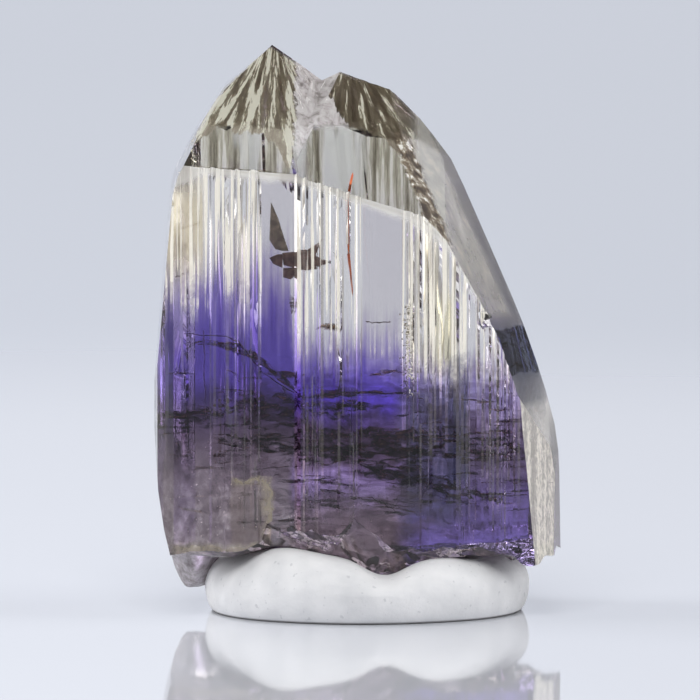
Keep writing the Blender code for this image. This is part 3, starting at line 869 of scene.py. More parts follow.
def pad(material):
    """The putty pad: a profile of two quarter ellipses turned round its middle with a slightly uneven
    outline, whose top is pressed down wherever the broken end of the stone comes lower."""
    foot = np.linspace(0.0, math.pi / 2.0, 14)
    shoulder = np.linspace(0.0, math.pi / 2.0, 26)[1:]
    share = np.linspace(1.0, 0.0, 70)[1:]
    top = PAD_HEIGHT - PAD_DOME
    rise = top - PAD_WIDEST_HEIGHT
    bottom_radii = np.linspace(0.0, PAD_FOOT_RADIUS, 10)
    radii = np.concatenate((
        bottom_radii[:-1],
        PAD_FOOT_RADIUS + (PAD_RADIUS - PAD_FOOT_RADIUS) * np.sin(foot),
        PAD_RADIUS - PAD_SHOULDER * (1.0 - np.cos(shoulder)),
        (PAD_RADIUS - PAD_SHOULDER) * share,
    ))
    heights = np.concatenate((
        np.zeros(len(bottom_radii) - 1),
        PAD_WIDEST_HEIGHT * (1.0 - np.cos(foot)),
        PAD_WIDEST_HEIGHT + rise * np.sin(shoulder),
        PAD_HEIGHT - PAD_DOME * share**2,
    ))
    turn = np.linspace(0.0, 2.0 * math.pi, PAD_STEPS_ROUND, endpoint=False)
    wave = sum(size * np.sin(count * turn + start) for count, size, start in PAD_WAVES)
    reach = radii[:, None] * (1.0 + wave * radii[:, None] / PAD_RADIUS)
    x = PAD_CENTRE_X + reach * np.cos(turn)
    y = reach * np.sin(turn)
    z = np.repeat(heights[:, None], len(turn), axis=1)
    lumps = 0.035 * uneven(x + 0.7 * z, y, 2.6, 11) + 0.015 * uneven(x, y + z, 0.8, 12)
    middle = np.clip(heights[:, None] / PAD_WIDEST_HEIGHT, 0.0, 1.0) * np.clip(radii[:, None] / 4.0, 0.0, 1.0)
    x = x + lumps * middle * np.cos(turn)
    y = y + lumps * middle * np.sin(turn)
    upper = np.arange(len(radii))[:, None] >= len(bottom_radii) + len(foot)
    near, far = SEAT_BACK
    pushed = np.clip((far - y) / (far - near), 0.0, 1.0)
    raised = np.clip((z - PAD_WIDEST_HEIGHT) / (PAD_HEIGHT - PAD_WIDEST_HEIGHT), 0.0, 1.0)
    z = z + (seat_line(x) - PAD_HEIGHT) * pushed * raised
    inside = (np.abs(x) < PRESS_REACH[0]) & (np.abs(y) < PRESS_REACH[1])
    pressed = np.minimum(z, break_height(x, y) - PRESS_GAP)
    z = np.where(upper & inside, np.maximum(pressed, PAD_LEAST_HEIGHT), z)
    points = np.stack((x, y, z), axis=-1)
    return closed_piece("putty_pad_fine", points, grid_quads(*z.shape, wrap=True), material)


def new_material(name):
    """A material with its Principled shader."""
    material = bpy.data.materials.new(name)
    material.use_nodes = True
    return material, material.node_tree, material.node_tree.nodes["Principled BSDF"]


def set_inputs(node, inputs):
    """Links each field to the node's input of that name, and sets each plain value on it."""
    for key, value in inputs.items():
        if isinstance(value, Field):
            value.tree.links.new(value.socket, node.inputs[key])
        else:
            node.inputs[key].default_value = value


def add_node(tree, kind, inputs=None, **settings):
    """Adds a node with its settings and inputs."""
    node = tree.nodes.new(kind)
    for name, value in settings.items():
        setattr(node, name, value)
    set_inputs(node, inputs or {})
    return node


class Field:
    """A number, a colour or a vector that varies over a surface: the output of a shader node. Sums on numbers
    add the nodes that work them out, and the product of two shares is the share of both together."""

    def __init__(self, tree, socket):
        self.tree = tree
        self.socket = socket

    def maths(self, operation, first, second=0.0):
        """One sum on two numbers, of which one may be plain."""
        node = add_node(self.tree, "ShaderNodeMath", {0: first, 1: second}, operation=operation)
        return Field(self.tree, node.outputs[0])

    def __add__(self, other):
        return self.maths("ADD", self, other)

    def __sub__(self, other):
        return self.maths("SUBTRACT", self, other)

    def __rsub__(self, other):
        return self.maths("SUBTRACT", other, self)

    def __mul__(self, other):
        return self.maths("MULTIPLY", self, other)

    def __truediv__(self, other):
        return self.maths("DIVIDE", self, other)

    __radd__ = __add__
    __rmul__ = __mul__

    def larger(self, other):
        """The larger of two numbers."""
        return self.maths("MAXIMUM", self, other)

    def absolute(self):
        """The number without its sign."""
        return self.maths("ABSOLUTE", self)

    def rises(self, low, high):
        """A smooth step from 0 at low to 1 at high. It falls where low is the larger."""
        node = add_node(
            self.tree,
            "ShaderNodeMapRange",
            {"Value": self, "From Min": low, "From Max": high},
            interpolation_type="SMOOTHSTEP",
        )
        return Field(self.tree, node.outputs["Result"])

    def within(self, low, high, soft):
        """1 between low and high and 0 outside, with soft ends."""
        return self.rises(low - soft, low + soft) * self.rises(high + soft, high - soft)

    def parts(self):
        """The three parts of a vector."""
        node = add_node(self.tree, "ShaderNodeSeparateXYZ", {0: self})
        return [Field(self.tree, output) for output in node.outputs]


def place_in_mm(tree, scale=(1.0, 1.0, 1.0)):
    """The point of the object in millimetres, stretched by the given scale."""
    place = Field(tree, add_node(tree, "ShaderNodeTexCoord").outputs["Object"])
    factors = tuple(s / MM for s in scale)
    node = add_node(tree, "ShaderNodeVectorMath", {0: place, 1: factors}, operation="MULTIPLY")
    return Field(tree, node.outputs[0])


def vector(x, y, z):
    """A vector from its parts, of which x is a field."""
    return Field(x.tree, add_node(x.tree, "ShaderNodeCombineXYZ", {0: x, 1: y, 2: z}).outputs[0])


def noise_over(place, detail, roughness=0.5, size=1.0, distortion=0.0):
    """Noise over a vector."""
    node = add_node(place.tree, "ShaderNodeTexNoise", {
        "Vector": place, "Scale": size, "Detail": detail, "Roughness": roughness, "Distortion": distortion,
    })
    return Field(place.tree, node.outputs["Fac"])


def noise(tree, scale, detail=2.0, roughness=0.5, size=1.0, distortion=0.0):
    """Noise over the object in millimetres, stretched by the given scale."""
    return noise_over(place_in_mm(tree, scale), detail, roughness, size, distortion)


def cells_over(place, **settings):
    """A random number for each cell that a vector falls in."""
    tree = place.tree
    inputs = {"Vector": place, "Scale": 1.0, "Randomness": 1.0}
    cells = add_node(tree, "ShaderNodeTexVoronoi", inputs, **settings)
    colour = Field(tree, cells.outputs["Color"])
    return Field(tree, add_node(tree, "ShaderNodeSeparateColor", {0: colour}).outputs[0])


def ramp(value, stops, interpolation="LINEAR"):
    """A colour ramp from (place, colour) stops."""
    node = add_node(value.tree, "ShaderNodeValToRGB", {"Fac": value})
    node.color_ramp.interpolation = interpolation
    elements = node.color_ramp.elements
    while len(elements) < len(stops):
        elements.new(0.5)
    for element, (place, colour) in zip(elements, stops):
        element.position = place
        element.color = (*colour, 1.0)
    return Field(value.tree, node.outputs["Color"])


def over_height(height, stops):
    """A colour ramp whose stops are given in millimetres of height."""
    return ramp(height / PRISM_TOP, [(z / PRISM_TOP, colour) for z, colour in stops])


def mix_colour(tree, share, first, second, blend_type="MIX"):
    """One colour mixed into another. A plain colour has three parts."""
    first, second = ((*c, 1.0) if isinstance(c, tuple) else c for c in (first, second))
    node = add_node(tree, "ShaderNodeMix", data_type="RGBA", blend_type=blend_type)
    set_inputs(node, {0: share, 6: first, 7: second})
    return Field(tree, node.outputs[2])


def bump(tree, height, strength, depth):
    """Bumps of the given depth in millimetres."""
    node = add_node(tree, "ShaderNodeBump", {"Height": height, "Strength": strength, "Distance": depth * MM})
    return Field(tree, node.outputs["Normal"])


def line_height(x, points):
    """Height of a line of straight stretches through points of X and Z, for an X from -10 to 10. The curve
    node that holds it works from 0 to 1 both ways."""
    node = add_node(x.tree, "ShaderNodeFloatCurve", {"Value": 0.05 * x + 0.5})
    curve = node.mapping.curves[0]
    while len(curve.points) < len(points):
        curve.points.new(0.5, 0.5)
    for knot, (along, height) in zip(curve.points, points):
        knot.location = (0.5 + 0.05 * along, height / PRISM_TOP)
        knot.handle_type = "VECTOR"
    node.mapping.update()
    return PRISM_TOP * Field(x.tree, node.outputs[0])


def zones_of_colour(tree, x, z):
    """The stone's colour zones. Upwards, violet fades to clear over a stretch that starts lower in the middle
    and on the right; downwards, each third of the width has its own bands of violet, brown and smoke."""
    wobble = noise(tree, (0.9, 0.9, 0.45), detail=4.0, size=0.8) - 0.5
    streaks = noise(tree, (3.8, 3.8, 0.10), detail=2.5) - 0.5
    side = x + 0.5 * wobble
    middle = side.rises(-3.55, -3.15)
    right = side.rises(1.6, 3.0)
    start = 13.7 - 2.3 * middle - 1.7 * right
    level = (z - start) / (5.8 - 2.4 * middle) + 0.9 * wobble + 1.3 * streaks
    upper = ramp(level, (
        (0.00, (0.105, 0.065, 0.36)),
        (0.22, (0.17, 0.115, 0.47)),
        (0.45, (0.36, 0.29, 0.56)),
        (0.75, (0.70, 0.65, 0.72)),
        (1.00, (0.93, 0.90, 0.87)),
    ))
    height = z + 2.6 * wobble
    left_low = over_height(height, (
        (3.0, (0.37, 0.32, 0.33)), (6.0, (0.29, 0.24, 0.27)), (8.3, (0.17, 0.125, 0.17)),
        (9.3, (0.085, 0.055, 0.11)), (11.0, (0.057, 0.035, 0.15)), (12.4, (0.085, 0.052, 0.26)),
    ))
    middle_low = over_height(height, (
        (4.0, (0.15, 0.10, 0.12)), (5.2, (0.20, 0.14, 0.20)), (6.0, (0.27, 0.19, 0.38)),
        (7.2, (0.26, 0.175, 0.38)), (7.7, (0.10, 0.06, 0.11)), (9.5, (0.085, 0.05, 0.13)),
        (10.4, (0.10, 0.05, 0.50)), (12.0, (0.13, 0.07, 0.60)),
    ))
    right_low = over_height(height, (
        (3.6, (0.15, 0.10, 0.36)), (5.4, (0.12, 0.08, 0.24)), (7.4, (0.12, 0.085, 0.16)),
        (9.6, (0.24, 0.18, 0.33)), (11.0, (0.37, 0.31, 0.58)),
    ))
    low = mix_colour(tree, right, mix_colour(tree, middle, left_low, middle_low), right_low)
    slate = side.within(2.2, 5.2, 0.4) * height.within(4.6, 12.2, 0.8)
    low = mix_colour(tree, 0.8 * slate, low, (0.055, 0.05, 0.12))
    return mix_colour(tree, height.rises(10.6, 12.2), low, upper)


def clouds_of_colour(tree, x, z, body):
    """The zones' colour with blocky light and dark patches in the lower part, a band of dark mottling across
    its middle and dark fissures just above the break."""
    blocks = cells_over(place_in_mm(tree, (0.75, 0.3, 0.55)), distance="CHEBYCHEV")
    patches = noise(tree, (0.8, 0.8, 1.9), detail=6.0, size=0.9, roughness=0.62, distortion=0.8)
    tone = ramp(0.20 * blocks + patches, (
        (0.42, (0.22, 0.16, 0.19)), (0.54, (0.72, 0.66, 0.72)), (0.66, (1.1, 1.1, 1.1)),
        (0.85, (2.0, 2.0, 1.9)),
    ))
    body = mix_colour(tree, z.rises(13.2, 11.4) * x.rises(-11.0, -4.5), body, tone, "MULTIPLY")
    mottle = noise(tree, (0.55, 0.55, 1.5), detail=5.0, size=0.9, distortion=0.6)
    band = mottle.rises(0.52, 0.60) * z.within(7.0, 11.6, 0.8) * x.within(-6.2, 6.5, 1.2)
    body = mix_colour(tree, 0.6 * band, body, (0.03, 0.018, 0.03))
    cracks = noise(tree, (0.55, 0.55, 2.0), detail=5.0, distortion=0.9)
    fissures = cracks.rises(0.47, 0.54) * z.within(4.4, 6.4, 0.5) * x.within(-4.6, 4.2, 0.8)
    return mix_colour(tree, 0.72 * fissures, body, (0.035, 0.020, 0.028))


class Skin:
    """The stone's surface while its finish is made up: where its points lie and face, the noises that several
    places share, the colour so far, and the shares of the surface that are frosted, each with an amount."""

    def __init__(self, tree):
        self.tree = tree
        self.x, self.y, self.z = place_in_mm(tree).parts()
        facing = Field(tree, add_node(tree, "ShaderNodeNewGeometry").outputs["True Normal"])
        self.facing_x, self.facing_y, self.facing_z = facing.parts()
        self.cloud = noise(tree, (1.0, 1.0, 1.0), detail=4.0, size=1.3)
        self.columns = noise(tree, (3.4, 0.0, 0.04), detail=3.0)
        self.dust = noise(tree, (2.2, 2.2, 1.3), detail=6.0, roughness=0.72)
        self.front = self.y.rises(-3.9, -4.6)
        self.upright = self.facing_z.rises(0.10, 0.05)
        self.upwards = self.facing_z.rises(0.20, 0.45)
        self.colour = clouds_of_colour(tree, self.x, self.z, zones_of_colour(tree, self.x, self.z))
        self.frosted = []

    def paint(self, share, colour, blend_type="MIX"):
        """Mixes a colour over the colour so far."""
        self.colour = mix_colour(self.tree, share, self.colour, colour, blend_type)

    def frost(self, share, amount):
        """Frosts a share of the surface by an amount."""
        self.frosted.append(share * amount)

    def all_frost(self):
        """How frosted each point is: the largest of the amounts that reach it."""
        total = self.frosted[0]
        for share in self.frosted[1:]:
            total = total.larger(share)
        return total


def front_columns(skin):
    """The upright bands of the front: a yellow left edge, yellow, golden and slate ones at the right, and two
    plain windows, whose share is returned."""
    x, z, front, cloud = skin.x, skin.z, skin.front, skin.cloud
    yellow_edge = x.within(-10.3, -7.65, 0.1) * z.within(17.0, 22.0, 1.6)
    yellow_bands = x.within(2.4, 4.9, 0.4) * z.within(12.8, 19.5, 1.2) * skin.columns.rises(0.44, 0.58)
    skin.paint((yellow_edge + yellow_bands) * front, (0.84, 0.76, 0.54), "MULTIPLY")
    skin.frost(yellow_edge * front, 0.38)
    golden = x.within(3.90, 4.75, 0.10) * z.within(12.6, 16.2, 0.7) * front
    skin.paint(golden, (0.96, 0.84, 0.46))
    slate = (x + 0.6 * cloud).within(4.75, 5.75, 0.10) * (z + 2.0 * cloud).within(7.6, 14.2, 0.6) * front
    skin.paint(0.85 * slate, (0.022, 0.026, 0.065))
    windows = x.within(0.22, 2.20, 0.04).larger(x.within(-4.78, -3.10, 0.04)) * front * z.rises(13.0, 15.0)
    skin.paint(windows, (0.77, 0.74, 0.78), "MULTIPLY")
    return windows


def bright_streaks(skin, windows):
    """Hair-fine pale frosted streaks on the upper front, which are painted highlights for light that comes
    through the striations and reach lower in the middle and at the right, and a pale line along the front's
    upper edge, which is a painted edge highlight."""
    x, z = skin.x, skin.z
    highlight_zone = x.within(-7.7, -5.2, 0.4) * z.within(17.5, 22.4, 1.2) + 0.6 * x.within(2.3, 5.6, 0.3)
    highlight_hairs = noise(skin.tree, (5.5, 0.0, 0.10), detail=3.0) + 0.045 * highlight_zone
    height = z + 2.2 * x.rises(-3.7, -3.1) + 1.4 * x.rises(2.0, 2.6) + 4.0 * skin.cloud
    streaks = highlight_hairs.rises(0.52, 0.58) * skin.y.rises(-5.0, -5.2) * height.rises(16.5, 19.5)
    streaks = streaks * (1.0 - windows) * skin.upright * skin.facing_x.rises(0.45, 0.35)
    # Painted highlights: cream frosted streaks where light comes through the striations.
    skin.paint(streaks, (0.98, 0.93, 0.80))
    skin.frost(streaks, 0.7)
    below_top = line_height(x, FRONT_TOP) - z - 0.5 * skin.cloud
    edge_highlight = skin.front * below_top.rises(0.35, -0.15) * x.rises(7.0, 5.5) * skin.upright
    # Painted highlight along the front's upper edge.
    skin.paint(edge_highlight, (0.90, 0.87, 0.79))
    skin.frost(edge_highlight, 0.45)


def smoky_corner(skin):
    """The lower left: a smoky frosted skin mottled light and dark, a brown patch with an olive border, and an
    olive strip along the foot."""
    x, z, front, cloud, dust = skin.x, skin.z, skin.front, skin.cloud, skin.dust
    smoky = (x + 1.4 * cloud).rises(-4.3, -5.3) * (z + 2.4 * cloud).rises(10.2, 8.0)
    skin.paint(smoky, ramp(dust, (
        (0.34, (0.30, 0.25, 0.27)), (0.46, (0.80, 0.77, 0.80)), (0.56, (1.15, 1.15, 1.15)),
        (0.70, (2.4, 2.5, 2.4)),
    )), "MULTIPLY")
    skin.frost(smoky, 0.30)
    wobble = 0.9 * cloud - 0.45
    patch_x = x + wobble
    patch_z = z + wobble
    patch = patch_x.within(-6.3, -4.3, 0.10) * patch_z.within(3.8, 7.1, 0.10) * front
    inside = patch_x.within(-6.6, -4.70, 0.24) * patch_z.within(3.4, 6.75, 0.24)
    border = patch * (1.0 - inside) * dust.rises(0.36, 0.50)
    strip = x.within(-9.2, -4.2, 0.2) * patch_z.within(3.0, 3.8, 0.15) * front
    stain = border.larger(0.9 * strip)
    skin.paint(0.7 * patch, (0.18, 0.135, 0.115))
    skin.paint(0.7 * stain, (0.36, 0.315, 0.20))
    skin.frost(stain, 0.5)


def right_bevel(skin):
    """The slanting right flank in front of its widest line, a little frosted and painted with its reflection
    of the studio: grey bands with a clear slate-blue block, a lighter inner edge that is a painted highlight
    and warm painted glints in its mottle. Its share is returned."""
    tree, x, z, cloud = skin.tree, skin.x, skin.z, skin.cloud
    widest = (0.286 * z - 6.09).larger(-1.8)
    behind_widest = skin.y - widest + 1.2 * cloud
    bevel = skin.facing_x.rises(0.45, 0.65) * skin.facing_z.rises(0.06, 0.10)
    bevel = bevel * x.rises(2.4, 3.2) * behind_widest.rises(2.2, 0.9)
    height = z + 0.5 * cloud
    # Painted reflection: grey and slate-blue bands by height stand for the studio mirrored in the smooth
    # flank.
    grey = over_height(height, (
        (10.8, (0.42, 0.42, 0.42)), (11.1, (0.09, 0.10, 0.14)), (12.4, (0.065, 0.078, 0.12)),
        (12.5, (0.060, 0.095, 0.180)), (14.6, (0.060, 0.095, 0.180)), (14.7, (0.19, 0.19, 0.215)),
        (24.0, (0.26, 0.255, 0.24)),
    ))
    # Painted highlight along the flank's inner edge.
    inner_highlight = (x + 0.442 * z).rises(14.35, 14.05) * z.rises(14.7, 15.5)
    grey = mix_colour(tree, inner_highlight, grey, (0.50, 0.49, 0.44))
    mottle = noise(tree, (1.2, 1.2, 0.5), detail=5.0, size=1.4, roughness=0.65)
    # Warm painted glints in the mottle.
    grey = mix_colour(tree, 1.0, grey, ramp(mottle, (
        (0.35, (0.80, 0.80, 0.81)), (0.55, (1.0, 1.0, 1.0)), (0.72, (1.35, 1.30, 1.18)),
    )), "MULTIPLY")
    skin.paint(bevel, grey)
    skin.frost(bevel * (1.0 - height.within(12.45, 14.65, 0.04)), 0.45)
    return bevel


def worn_edge(skin):
    """The beige worn face low on the right front edge, whose bumps are returned."""
    tree = skin.tree
    worn = skin.facing_x.within(0.60, 0.96, 0.03) * skin.facing_y.rises(-0.35, -0.45)
    worn = worn * skin.z.rises(12.4, 11.8) * skin.x.rises(7.4, 7.7)
    grit = noise(tree, (9.0, 9.0, 2.6), detail=4.0, roughness=0.75)
    pale = (skin.columns + grit).rises(0.88, 1.12)
    skin.paint(worn, mix_colour(tree, pale, (0.36, 0.34, 0.31), (0.78, 0.74, 0.65)))
    skin.frost(worn, 0.75)
    return bump(tree, noise(tree, (1.0, 1.0, 0.6), detail=3.0, size=7.0) * worn, 0.8, 0.12)


def fan(x, z):
    """Spikes that run down and out from the two peaks, the pattern of a painted reflection: noise over the
    angle round a point above each peak, which changes slowly with the distance from it."""
    right = x.rises(-2.3, -2.0)
    across = x + 4.2 - 3.6 * right
    down = 29.4 - 0.6 * right - z
    angle = x.maths("ARCTAN2", across, down)
    return noise_over(vector(10.0 * angle, 0.42 * down, 0.0), detail=5.0, roughness=0.68, distortion=0.25)


def slanting_ends(skin, bevel):
    """The two slanting ends: clear with bunches of olive stripes below a ragged line, and fans of dark and
    pale spikes above it. The olive tint is the stone's own; the dark and pale stripes and spikes are painted
    reflections of the striated back faces and the dark room seen in the ends. The ends' share and that of the
    fans are returned."""
    tree, x, z = skin.tree, skin.x, skin.z
    ends = skin.upwards * skin.y.rises(0.35, 0.15) * (1.0 - bevel)
    olive = ramp(noise(tree, (2.2, 0.0, 0.14), detail=5.0, roughness=0.68), (
        (0.37, (0.03, 0.024, 0.012)), (0.45, (0.15, 0.13, 0.075)), (0.51, (0.34, 0.315, 0.20)),
        (0.58, (0.70, 0.67, 0.53)),
    ))
    bunches = noise(tree, (0.85, 0.0, 0.12)).rises(0.42, 0.54)
    # Painted reflection: olive stripes for the striated back faces seen through the end.
    skin.paint(ends, mix_colour(tree, bunches, (0.54, 0.545, 0.47), olive))
    spikes = fan(x, z)
    above = z - line_height(x, CAP_CONTOUR) + 0.8 - 1.6 * spikes
    fans = ends * above.rises(-0.08, 0.08)
    shown = spikes - 0.055 + 0.055 * x.rises(-1.9, -2.3)
    # Painted reflection: fans of dark and pale spikes.
    skin.paint(fans, ramp(shown, (
        (0.36, (0.13, 0.10, 0.062)), (0.47, (0.27, 0.225, 0.145)), (0.51, (0.40, 0.365, 0.26)),
        (0.54, (0.62, 0.605, 0.50)),
    )))
    skin.frost(fans * (0.55 * shown.rises(0.49, 0.54) + 0.45), 0.70)
    return ends, fans


def crumbly_edge(skin):
    """Dark crumbly grains along the edge between the right end and the bevel, with white specks that are
    painted glints.
    """
    past_edge = skin.x + 0.9 * skin.dust + 0.42 * skin.z
    crumbs_and_glints = past_edge.within(12.15, 12.95, 0.12) * skin.z.within(18.6, 23.9, 0.4)
    crumbs_and_glints = crumbs_and_glints * skin.facing_z.rises(0.04, 0.10) * skin.y.rises(0.3, 0.1)
    # The dark tones are the edge's own; the white top of the ramp is painted glints.
    skin.paint(crumbs_and_glints, ramp(noise(skin.tree, (2.5, 2.5, 1.3), detail=5.0, roughness=0.7), (
        (0.42, (0.030, 0.019, 0.012)), (0.50, (0.13, 0.09, 0.055)), (0.57, (0.34, 0.29, 0.20)),
        (0.62, (0.95, 0.93, 0.86)),
    )))
    skin.frost(crumbs_and_glints, 0.6)


def frosted_saddle(skin, ends, fans):
    """The pale frosted faces of the notch between the peaks, and the place beside it on the right end."""
    x, z = skin.x, skin.z
    jagged = x + 1.6 * skin.dust
    notch = skin.upwards * x.within(-4.5, -0.3, 0.2) * skin.facing_x.absolute().rises(0.27, 0.32)
    notch = notch * z.rises(22.4, 24.0) * jagged.rises(-2.45, -2.2)
    beside = ends * jagged.within(-2.4, 0.75, 0.12) * z.within(24.35, 26.9, 0.2) * (1.0 - fans)
    saddle = notch.larger(beside)
    haze = noise(skin.tree, (1.6, 1.6, 0.7), detail=5.0, size=1.1, roughness=0.7, distortion=0.7)
    skin.paint(saddle, ramp(haze, (
        (0.36, (0.30, 0.27, 0.26)), (0.46, (0.62, 0.58, 0.57)), (0.60, (0.84, 0.81, 0.80)),
    )))
    skin.frost(saddle, 0.55)


def broken_foot(skin):
    """The broken underside: brown flakes with dark creases, laid along a slant, whose palest pink flakes are
    painted highlights, and a pale frosted point at the left."""
    tree, x, y, z, dust = skin.tree, skin.x, skin.y, skin.z, skin.dust
    downwards = skin.facing_z.rises(-0.08, -0.30) * z.rises(7.5, 6.5)
    slant = vector(0.9 * (x - 0.45 * z), y + 1.5 * skin.cloud, 2.5 * (z + 0.40 * x))
    flake = 0.8 * dust + 0.55 * cells_over(slant)
    # The pale pink top of this ramp is painted highlights on the broken facets.
    brown = ramp(flake, (
        (0.45, (0.005, 0.003, 0.004)), (0.60, (0.050, 0.030, 0.035)), (0.72, (0.21, 0.145, 0.155)),
        (0.84, (0.50, 0.39, 0.43)), (0.94, (0.88, 0.76, 0.80)),
    ))
    swirls = noise_over(slant, detail=3.0, size=0.9, distortion=0.7)
    crease = (swirls - 0.5).absolute().rises(0.040, 0.010)
    skin.paint(downwards, mix_colour(tree, 0.85 * crease, brown, (0.004, 0.003, 0.004)))
    skin.frost(downwards * flake.rises(0.80, 0.92), 0.40)
    point = x.rises(-6.3, -6.9) * z.rises(3.3, 2.9)
    skin.paint(point, ramp(dust, ((0.36, (0.28, 0.24, 0.25)), (0.62, (0.78, 0.73, 0.78)))))
    skin.frost(point, 0.55)


def tanzanite():
    """Clear stone with zones of colour. The slanting ends are olive with painted reflections of dark and pale
    stripes and spikes, the right bevel carries a painted grey reflection with painted highlights, the broken
    underside is brown with painted highlights, the upper front has painted highlight streaks, and places
    where the skin is worn, such as the lower left and the right edge, are frosted: there the light scatters
    instead of passing through."""
    material, tree, shader = new_material("tanzanite_stone")
    skin = Skin(tree)
    bright_streaks(skin, front_columns(skin))
    smoky_corner(skin)
    bevel = right_bevel(skin)
    bumps = worn_edge(skin)
    ends, fans = slanting_ends(skin, bevel)
    crumbly_edge(skin)
    frosted_saddle(skin, ends, fans)
    broken_foot(skin)
    frost = skin.all_frost()
    set_inputs(shader, {
        "Base Color": skin.colour, "Transmission Weight": 1.0 - frost, "Roughness": 0.45 * frost + 0.012,
        "Normal": bumps, "IOR": STONE_IOR,
    })
    return material


def dark_fracture():
    """The dark brown and violet skin of an inner crack, with rusty places and holes where it closes up."""
    material, tree, shader = new_material("fracture_dark_brown")
    colour = ramp(noise(tree, (1.0, 1.0, 1.6), detail=4.0, size=1.9), (
        (0.34, (0.070, 0.034, 0.068)),
        (0.50, (0.170, 0.088, 0.105)),
        (0.60, (0.230, 0.130, 0.095)),
        (0.70, (0.450, 0.310, 0.180)),
    ))
    cover = noise(tree, (0.8, 0.8, 1.8), detail=5.0, size=1.5, roughness=0.62).rises(0.40, 0.60)
    set_inputs(shader, {
        "Base Color": colour, "Alpha": 0.80 * cover, "Roughness": 0.9, "Specular IOR Level": 0.0,
    })
    return material


def plain_grain(name, colour, roughness):
    """A pale or dark grain or crack edge, with a little unevenness of tone."""
    material, tree, shader = new_material(name)
    dim = tuple(c * 0.55 for c in colour)
    tone = ramp(noise(tree, (1.0, 1.0, 1.0), size=3.0), ((0.35, dim), (0.62, colour)))
    set_inputs(shader, {"Base Color": tone, "Roughness": roughness})
    return material


def plain_inclusion(name, low, high, roughness):
    """A cloudy two-tone finish for a mineral grown into the stone."""
    material, tree, shader = new_material(name)
    tone = ramp(noise(tree, (1.0, 1.0, 1.0), detail=3.0, size=2.4), ((0.35, low), (0.65, high)))
    set_inputs(shader, {"Base Color": tone, "Roughness": roughness})
    return material


def white_putty():
    """Matte white putty with tiny pits and faint smudges, with a painted contact shadow along its foot."""
    material, tree, shader = new_material("putty_white_matte")
    even = (1.0, 1.0, 1.0)
    cloud = noise(tree, even, detail=4.0, size=0.7)
    specks = noise(tree, even, size=3.2).rises(0.66, 0.72)
    colour = ramp(cloud, ((0.3, (0.615, 0.62, 0.635)), (0.7, (0.715, 0.715, 0.725))))
    colour = mix_colour(tree, 0.35 * specks, colour, (0.32, 0.33, 0.36))
    height = place_in_mm(tree).parts()[2]
    # Painted contact shadow: darker along the pad's foot.
    colour = mix_colour(tree, 0.8 * height.rises(0.15, 0.05), colour, (0.10, 0.095, 0.09))
    pits = noise(tree, even, detail=3.0, size=5.0, roughness=0.6)
    set_inputs(shader, {"Base Color": colour, "Normal": bump(tree, pits, 0.35, 0.06), "Roughness": 0.85})
    return material


def studio_floor():
    """A wide glossy white floor that ends just in front of the view. Its colour is painted shade: it dims a
    little way behind the stone, pales again further back, and is a little darker to the right."""
    material, tree, shader = new_material("floor_gloss_white")
    place = place_in_mm(tree)
    length = add_node(tree, "ShaderNodeVectorMath", {0: place}, operation="LENGTH")
    # Painted shade: the white floor's colour dims and pales again with distance.
    colour = ramp(Field(tree, length.outputs["Value"]) / 1000.0, (
        (0.10, (0.74, 0.76, 0.82)),
        (0.20, (0.52, 0.55, 0.62)),
        (0.45, (0.60, 0.63, 0.70)),
    ), "EASE")
    # Painted shade: the floor is a little darker to the right.
    darker = 0.11 * place.parts()[0].rises(-10.0, 14.0) + 0.05
    colour = mix_colour(tree, darker, colour, BLACK)
    set_inputs(shader, {"Base Color": colour, "Roughness": 0.04, "IOR": FLOOR_IOR})
    bm = bmesh.new()
    bmesh.ops.create_circle(bm, cap_ends=True, segments=128, radius=FLOOR_RADIUS)
    bmesh.ops.translate(bm, vec=(0.0, FLOOR_RADIUS - FLOOR_FRONT, 0.0), verts=bm.verts)
    floor = bmesh_piece("floor", bm)
    floor.data.materials.append(material)


def area_light(name, place, size, power):
    """A soft white rectangular light that faces the stone."""
    light = bpy.data.lights.new(name, "AREA")
    light.shape = "RECTANGLE"
    light.size = size[0] * MM
    light.size_y = size[1] * MM
    light.energy = power
    lamp = bpy.data.objects.new(name, light)
    bpy.context.scene.collection.objects.link(lamp)
    lamp.location = Vector(place) * MM
    lamp.rotation_euler = (Vector((0.0, 0.0, 14.0)) - Vector(place)).to_track_quat("-Z", "Y").to_euler()


def studio():
    """A pale room that softly darkens either side of the view, low down at the right, overhead and behind the
    camera, with soft lights left, right and above the front."""
    world = bpy.data.worlds.new("studio")
    bpy.context.scene.world = world
    world.use_nodes = True
    tree = world.node_tree
    x, y, z = Field(tree, add_node(tree, "ShaderNodeTexCoord").outputs["Generated"]).parts()
    side = x / x.maths("SQRT", x * x + y * y)
    around = ramp(0.5 * side + 0.5, [((place + 1.0) / 2.0, colour) for place, colour in ROOM], "EASE")
    low_sky = ramp(z, ((0.098, WHITE), (0.120, (0.30, 0.30, 0.30))), "EASE")
    colour = mix_colour(tree, side.absolute().rises(0.20, 0.30), around, low_sky, "MULTIPLY")
    shaded = side.within(0.54, 0.80, 0.03) * z.within(0.11, 0.29, 0.012) * y.rises(0.0, 0.2)
    colour = mix_colour(tree, 0.75 * shaded, colour, BLACK)
    above = ramp(z, ((0.30, WHITE), (0.60, (0.40, 0.40, 0.40))), "EASE")
    colour = mix_colour(tree, 1.0, colour, above, "MULTIPLY")
    behind_camera = y.rises(-0.35, -0.80)
    colour = mix_colour(tree, 0.60 * behind_camera, colour, BLACK)
    set_inputs(tree.nodes["Background"], {"Color": colour, "Strength": 1.0})
    area_light("light_left", (-420.0, 60.0, 200.0), (260.0, 300.0), 1.5)
    area_light("light_right", (430.0, -40.0, 210.0), (260.0, 300.0), 1.1)
    area_light("light_top", (-40.0, -400.0, 430.0), (300.0, 260.0), 2.0)


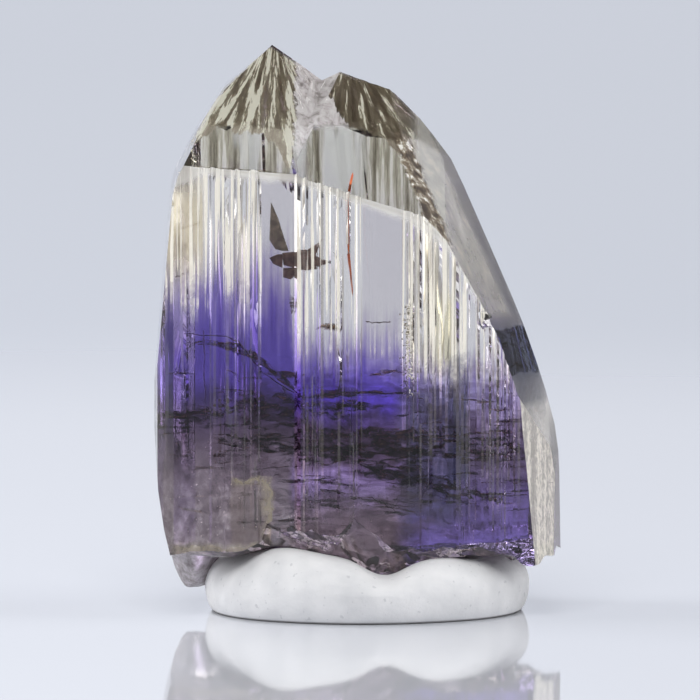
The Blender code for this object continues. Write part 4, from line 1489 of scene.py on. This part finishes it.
def camera():
    """The camera looks along +Y and a little down, so that the image's middle is CENTRE_UP up the view."""
    data = bpy.data.cameras.new("camera")
    data.sensor_width = 36.0
    data.lens = data.sensor_width * CAMERA_DISTANCE / (IMAGE_SIZE * PIXEL)
    data.clip_start = 0.01
    data.clip_end = 5.0
    eye = bpy.data.objects.new("camera", data)
    bpy.context.scene.collection.objects.link(eye)
    back = Vector((0.0, -math.cos(CAMERA_ELEVATION), math.sin(CAMERA_ELEVATION)))
    aim = Vector((CENTRE_X, 0.0, CENTRE_UP / math.cos(CAMERA_ELEVATION)))
    eye.location = (aim + back * CAMERA_DISTANCE) * MM
    eye.rotation_euler = (math.pi / 2.0 - CAMERA_ELEVATION, 0.0, 0.0)
    bpy.context.scene.camera = eye


def render_look():
    """How light is followed through the stone, and how the picture is shown."""
    scene = bpy.context.scene
    scene.view_settings.view_transform = "Standard"
    scene.view_settings.exposure = EXPOSURE
    scene.cycles.use_denoising = True
    scene.cycles.max_bounces = 20
    scene.cycles.transmission_bounces = 20
    scene.cycles.glossy_bounces = 8
    scene.cycles.diffuse_bounces = 3
    scene.cycles.transparent_max_bounces = 20


stone = crystal(tanzanite())
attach(stone, "root")
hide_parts("crystal")
putty = pad(white_putty())
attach(putty, "root")
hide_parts("putty_pad")
brown = plain_inclusion("inclusion_brown", (0.09, 0.045, 0.04), (0.24, 0.14, 0.11), 0.45)
olive = plain_inclusion("inclusion_olive", (0.17, 0.135, 0.10), (0.38, 0.32, 0.24), 0.45)
rust = plain_inclusion("needle_rust", (0.60, 0.11, 0.035), (0.80, 0.20, 0.07), 0.35)
black = plain_inclusion("inclusion_black", (0.010, 0.009, 0.014), (0.03, 0.026, 0.035), 0.6)
# Pale crack edges and grains, also used for painted glints and a painted edge highlight.
pale = plain_grain("pale_grains_cracks_and_glints", (0.88, 0.84, 0.76), 0.3)
dusky = plain_grain("crack_edge_dark", (0.16, 0.10, 0.09), 0.4)
inner = fracture_veils(dark_fracture())
inner.append(plate("inclusion_wedge", WEDGE, WEDGE_Y, 0.10, olive))
for i, outline in enumerate(CLUSTER):
    inner.append(plate(f"inclusion_plate_{i + 1}", outline, CLUSTER_Y + CLUSTER_STEP * i, 0.12, brown))
inner.append(plate("black_nick", NICK, NICK_Y, 0.10, black))
inner.append(threads("rust_needle", [NEEDLE], [NEEDLE_RADII], rust))
inner.append(crack_edges("pale_crack_edges_and_highlights", PALE_CRACKS_AND_HIGHLIGHTS, 51, pale))
inner.append(crack_edges("crack_edges_dark", DARK_CRACKS, 52, dusky))
inner.append(bright_grains(pale))
for piece in inner:
    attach(piece, "root")
studio_floor()
studio()
camera()
render_look()
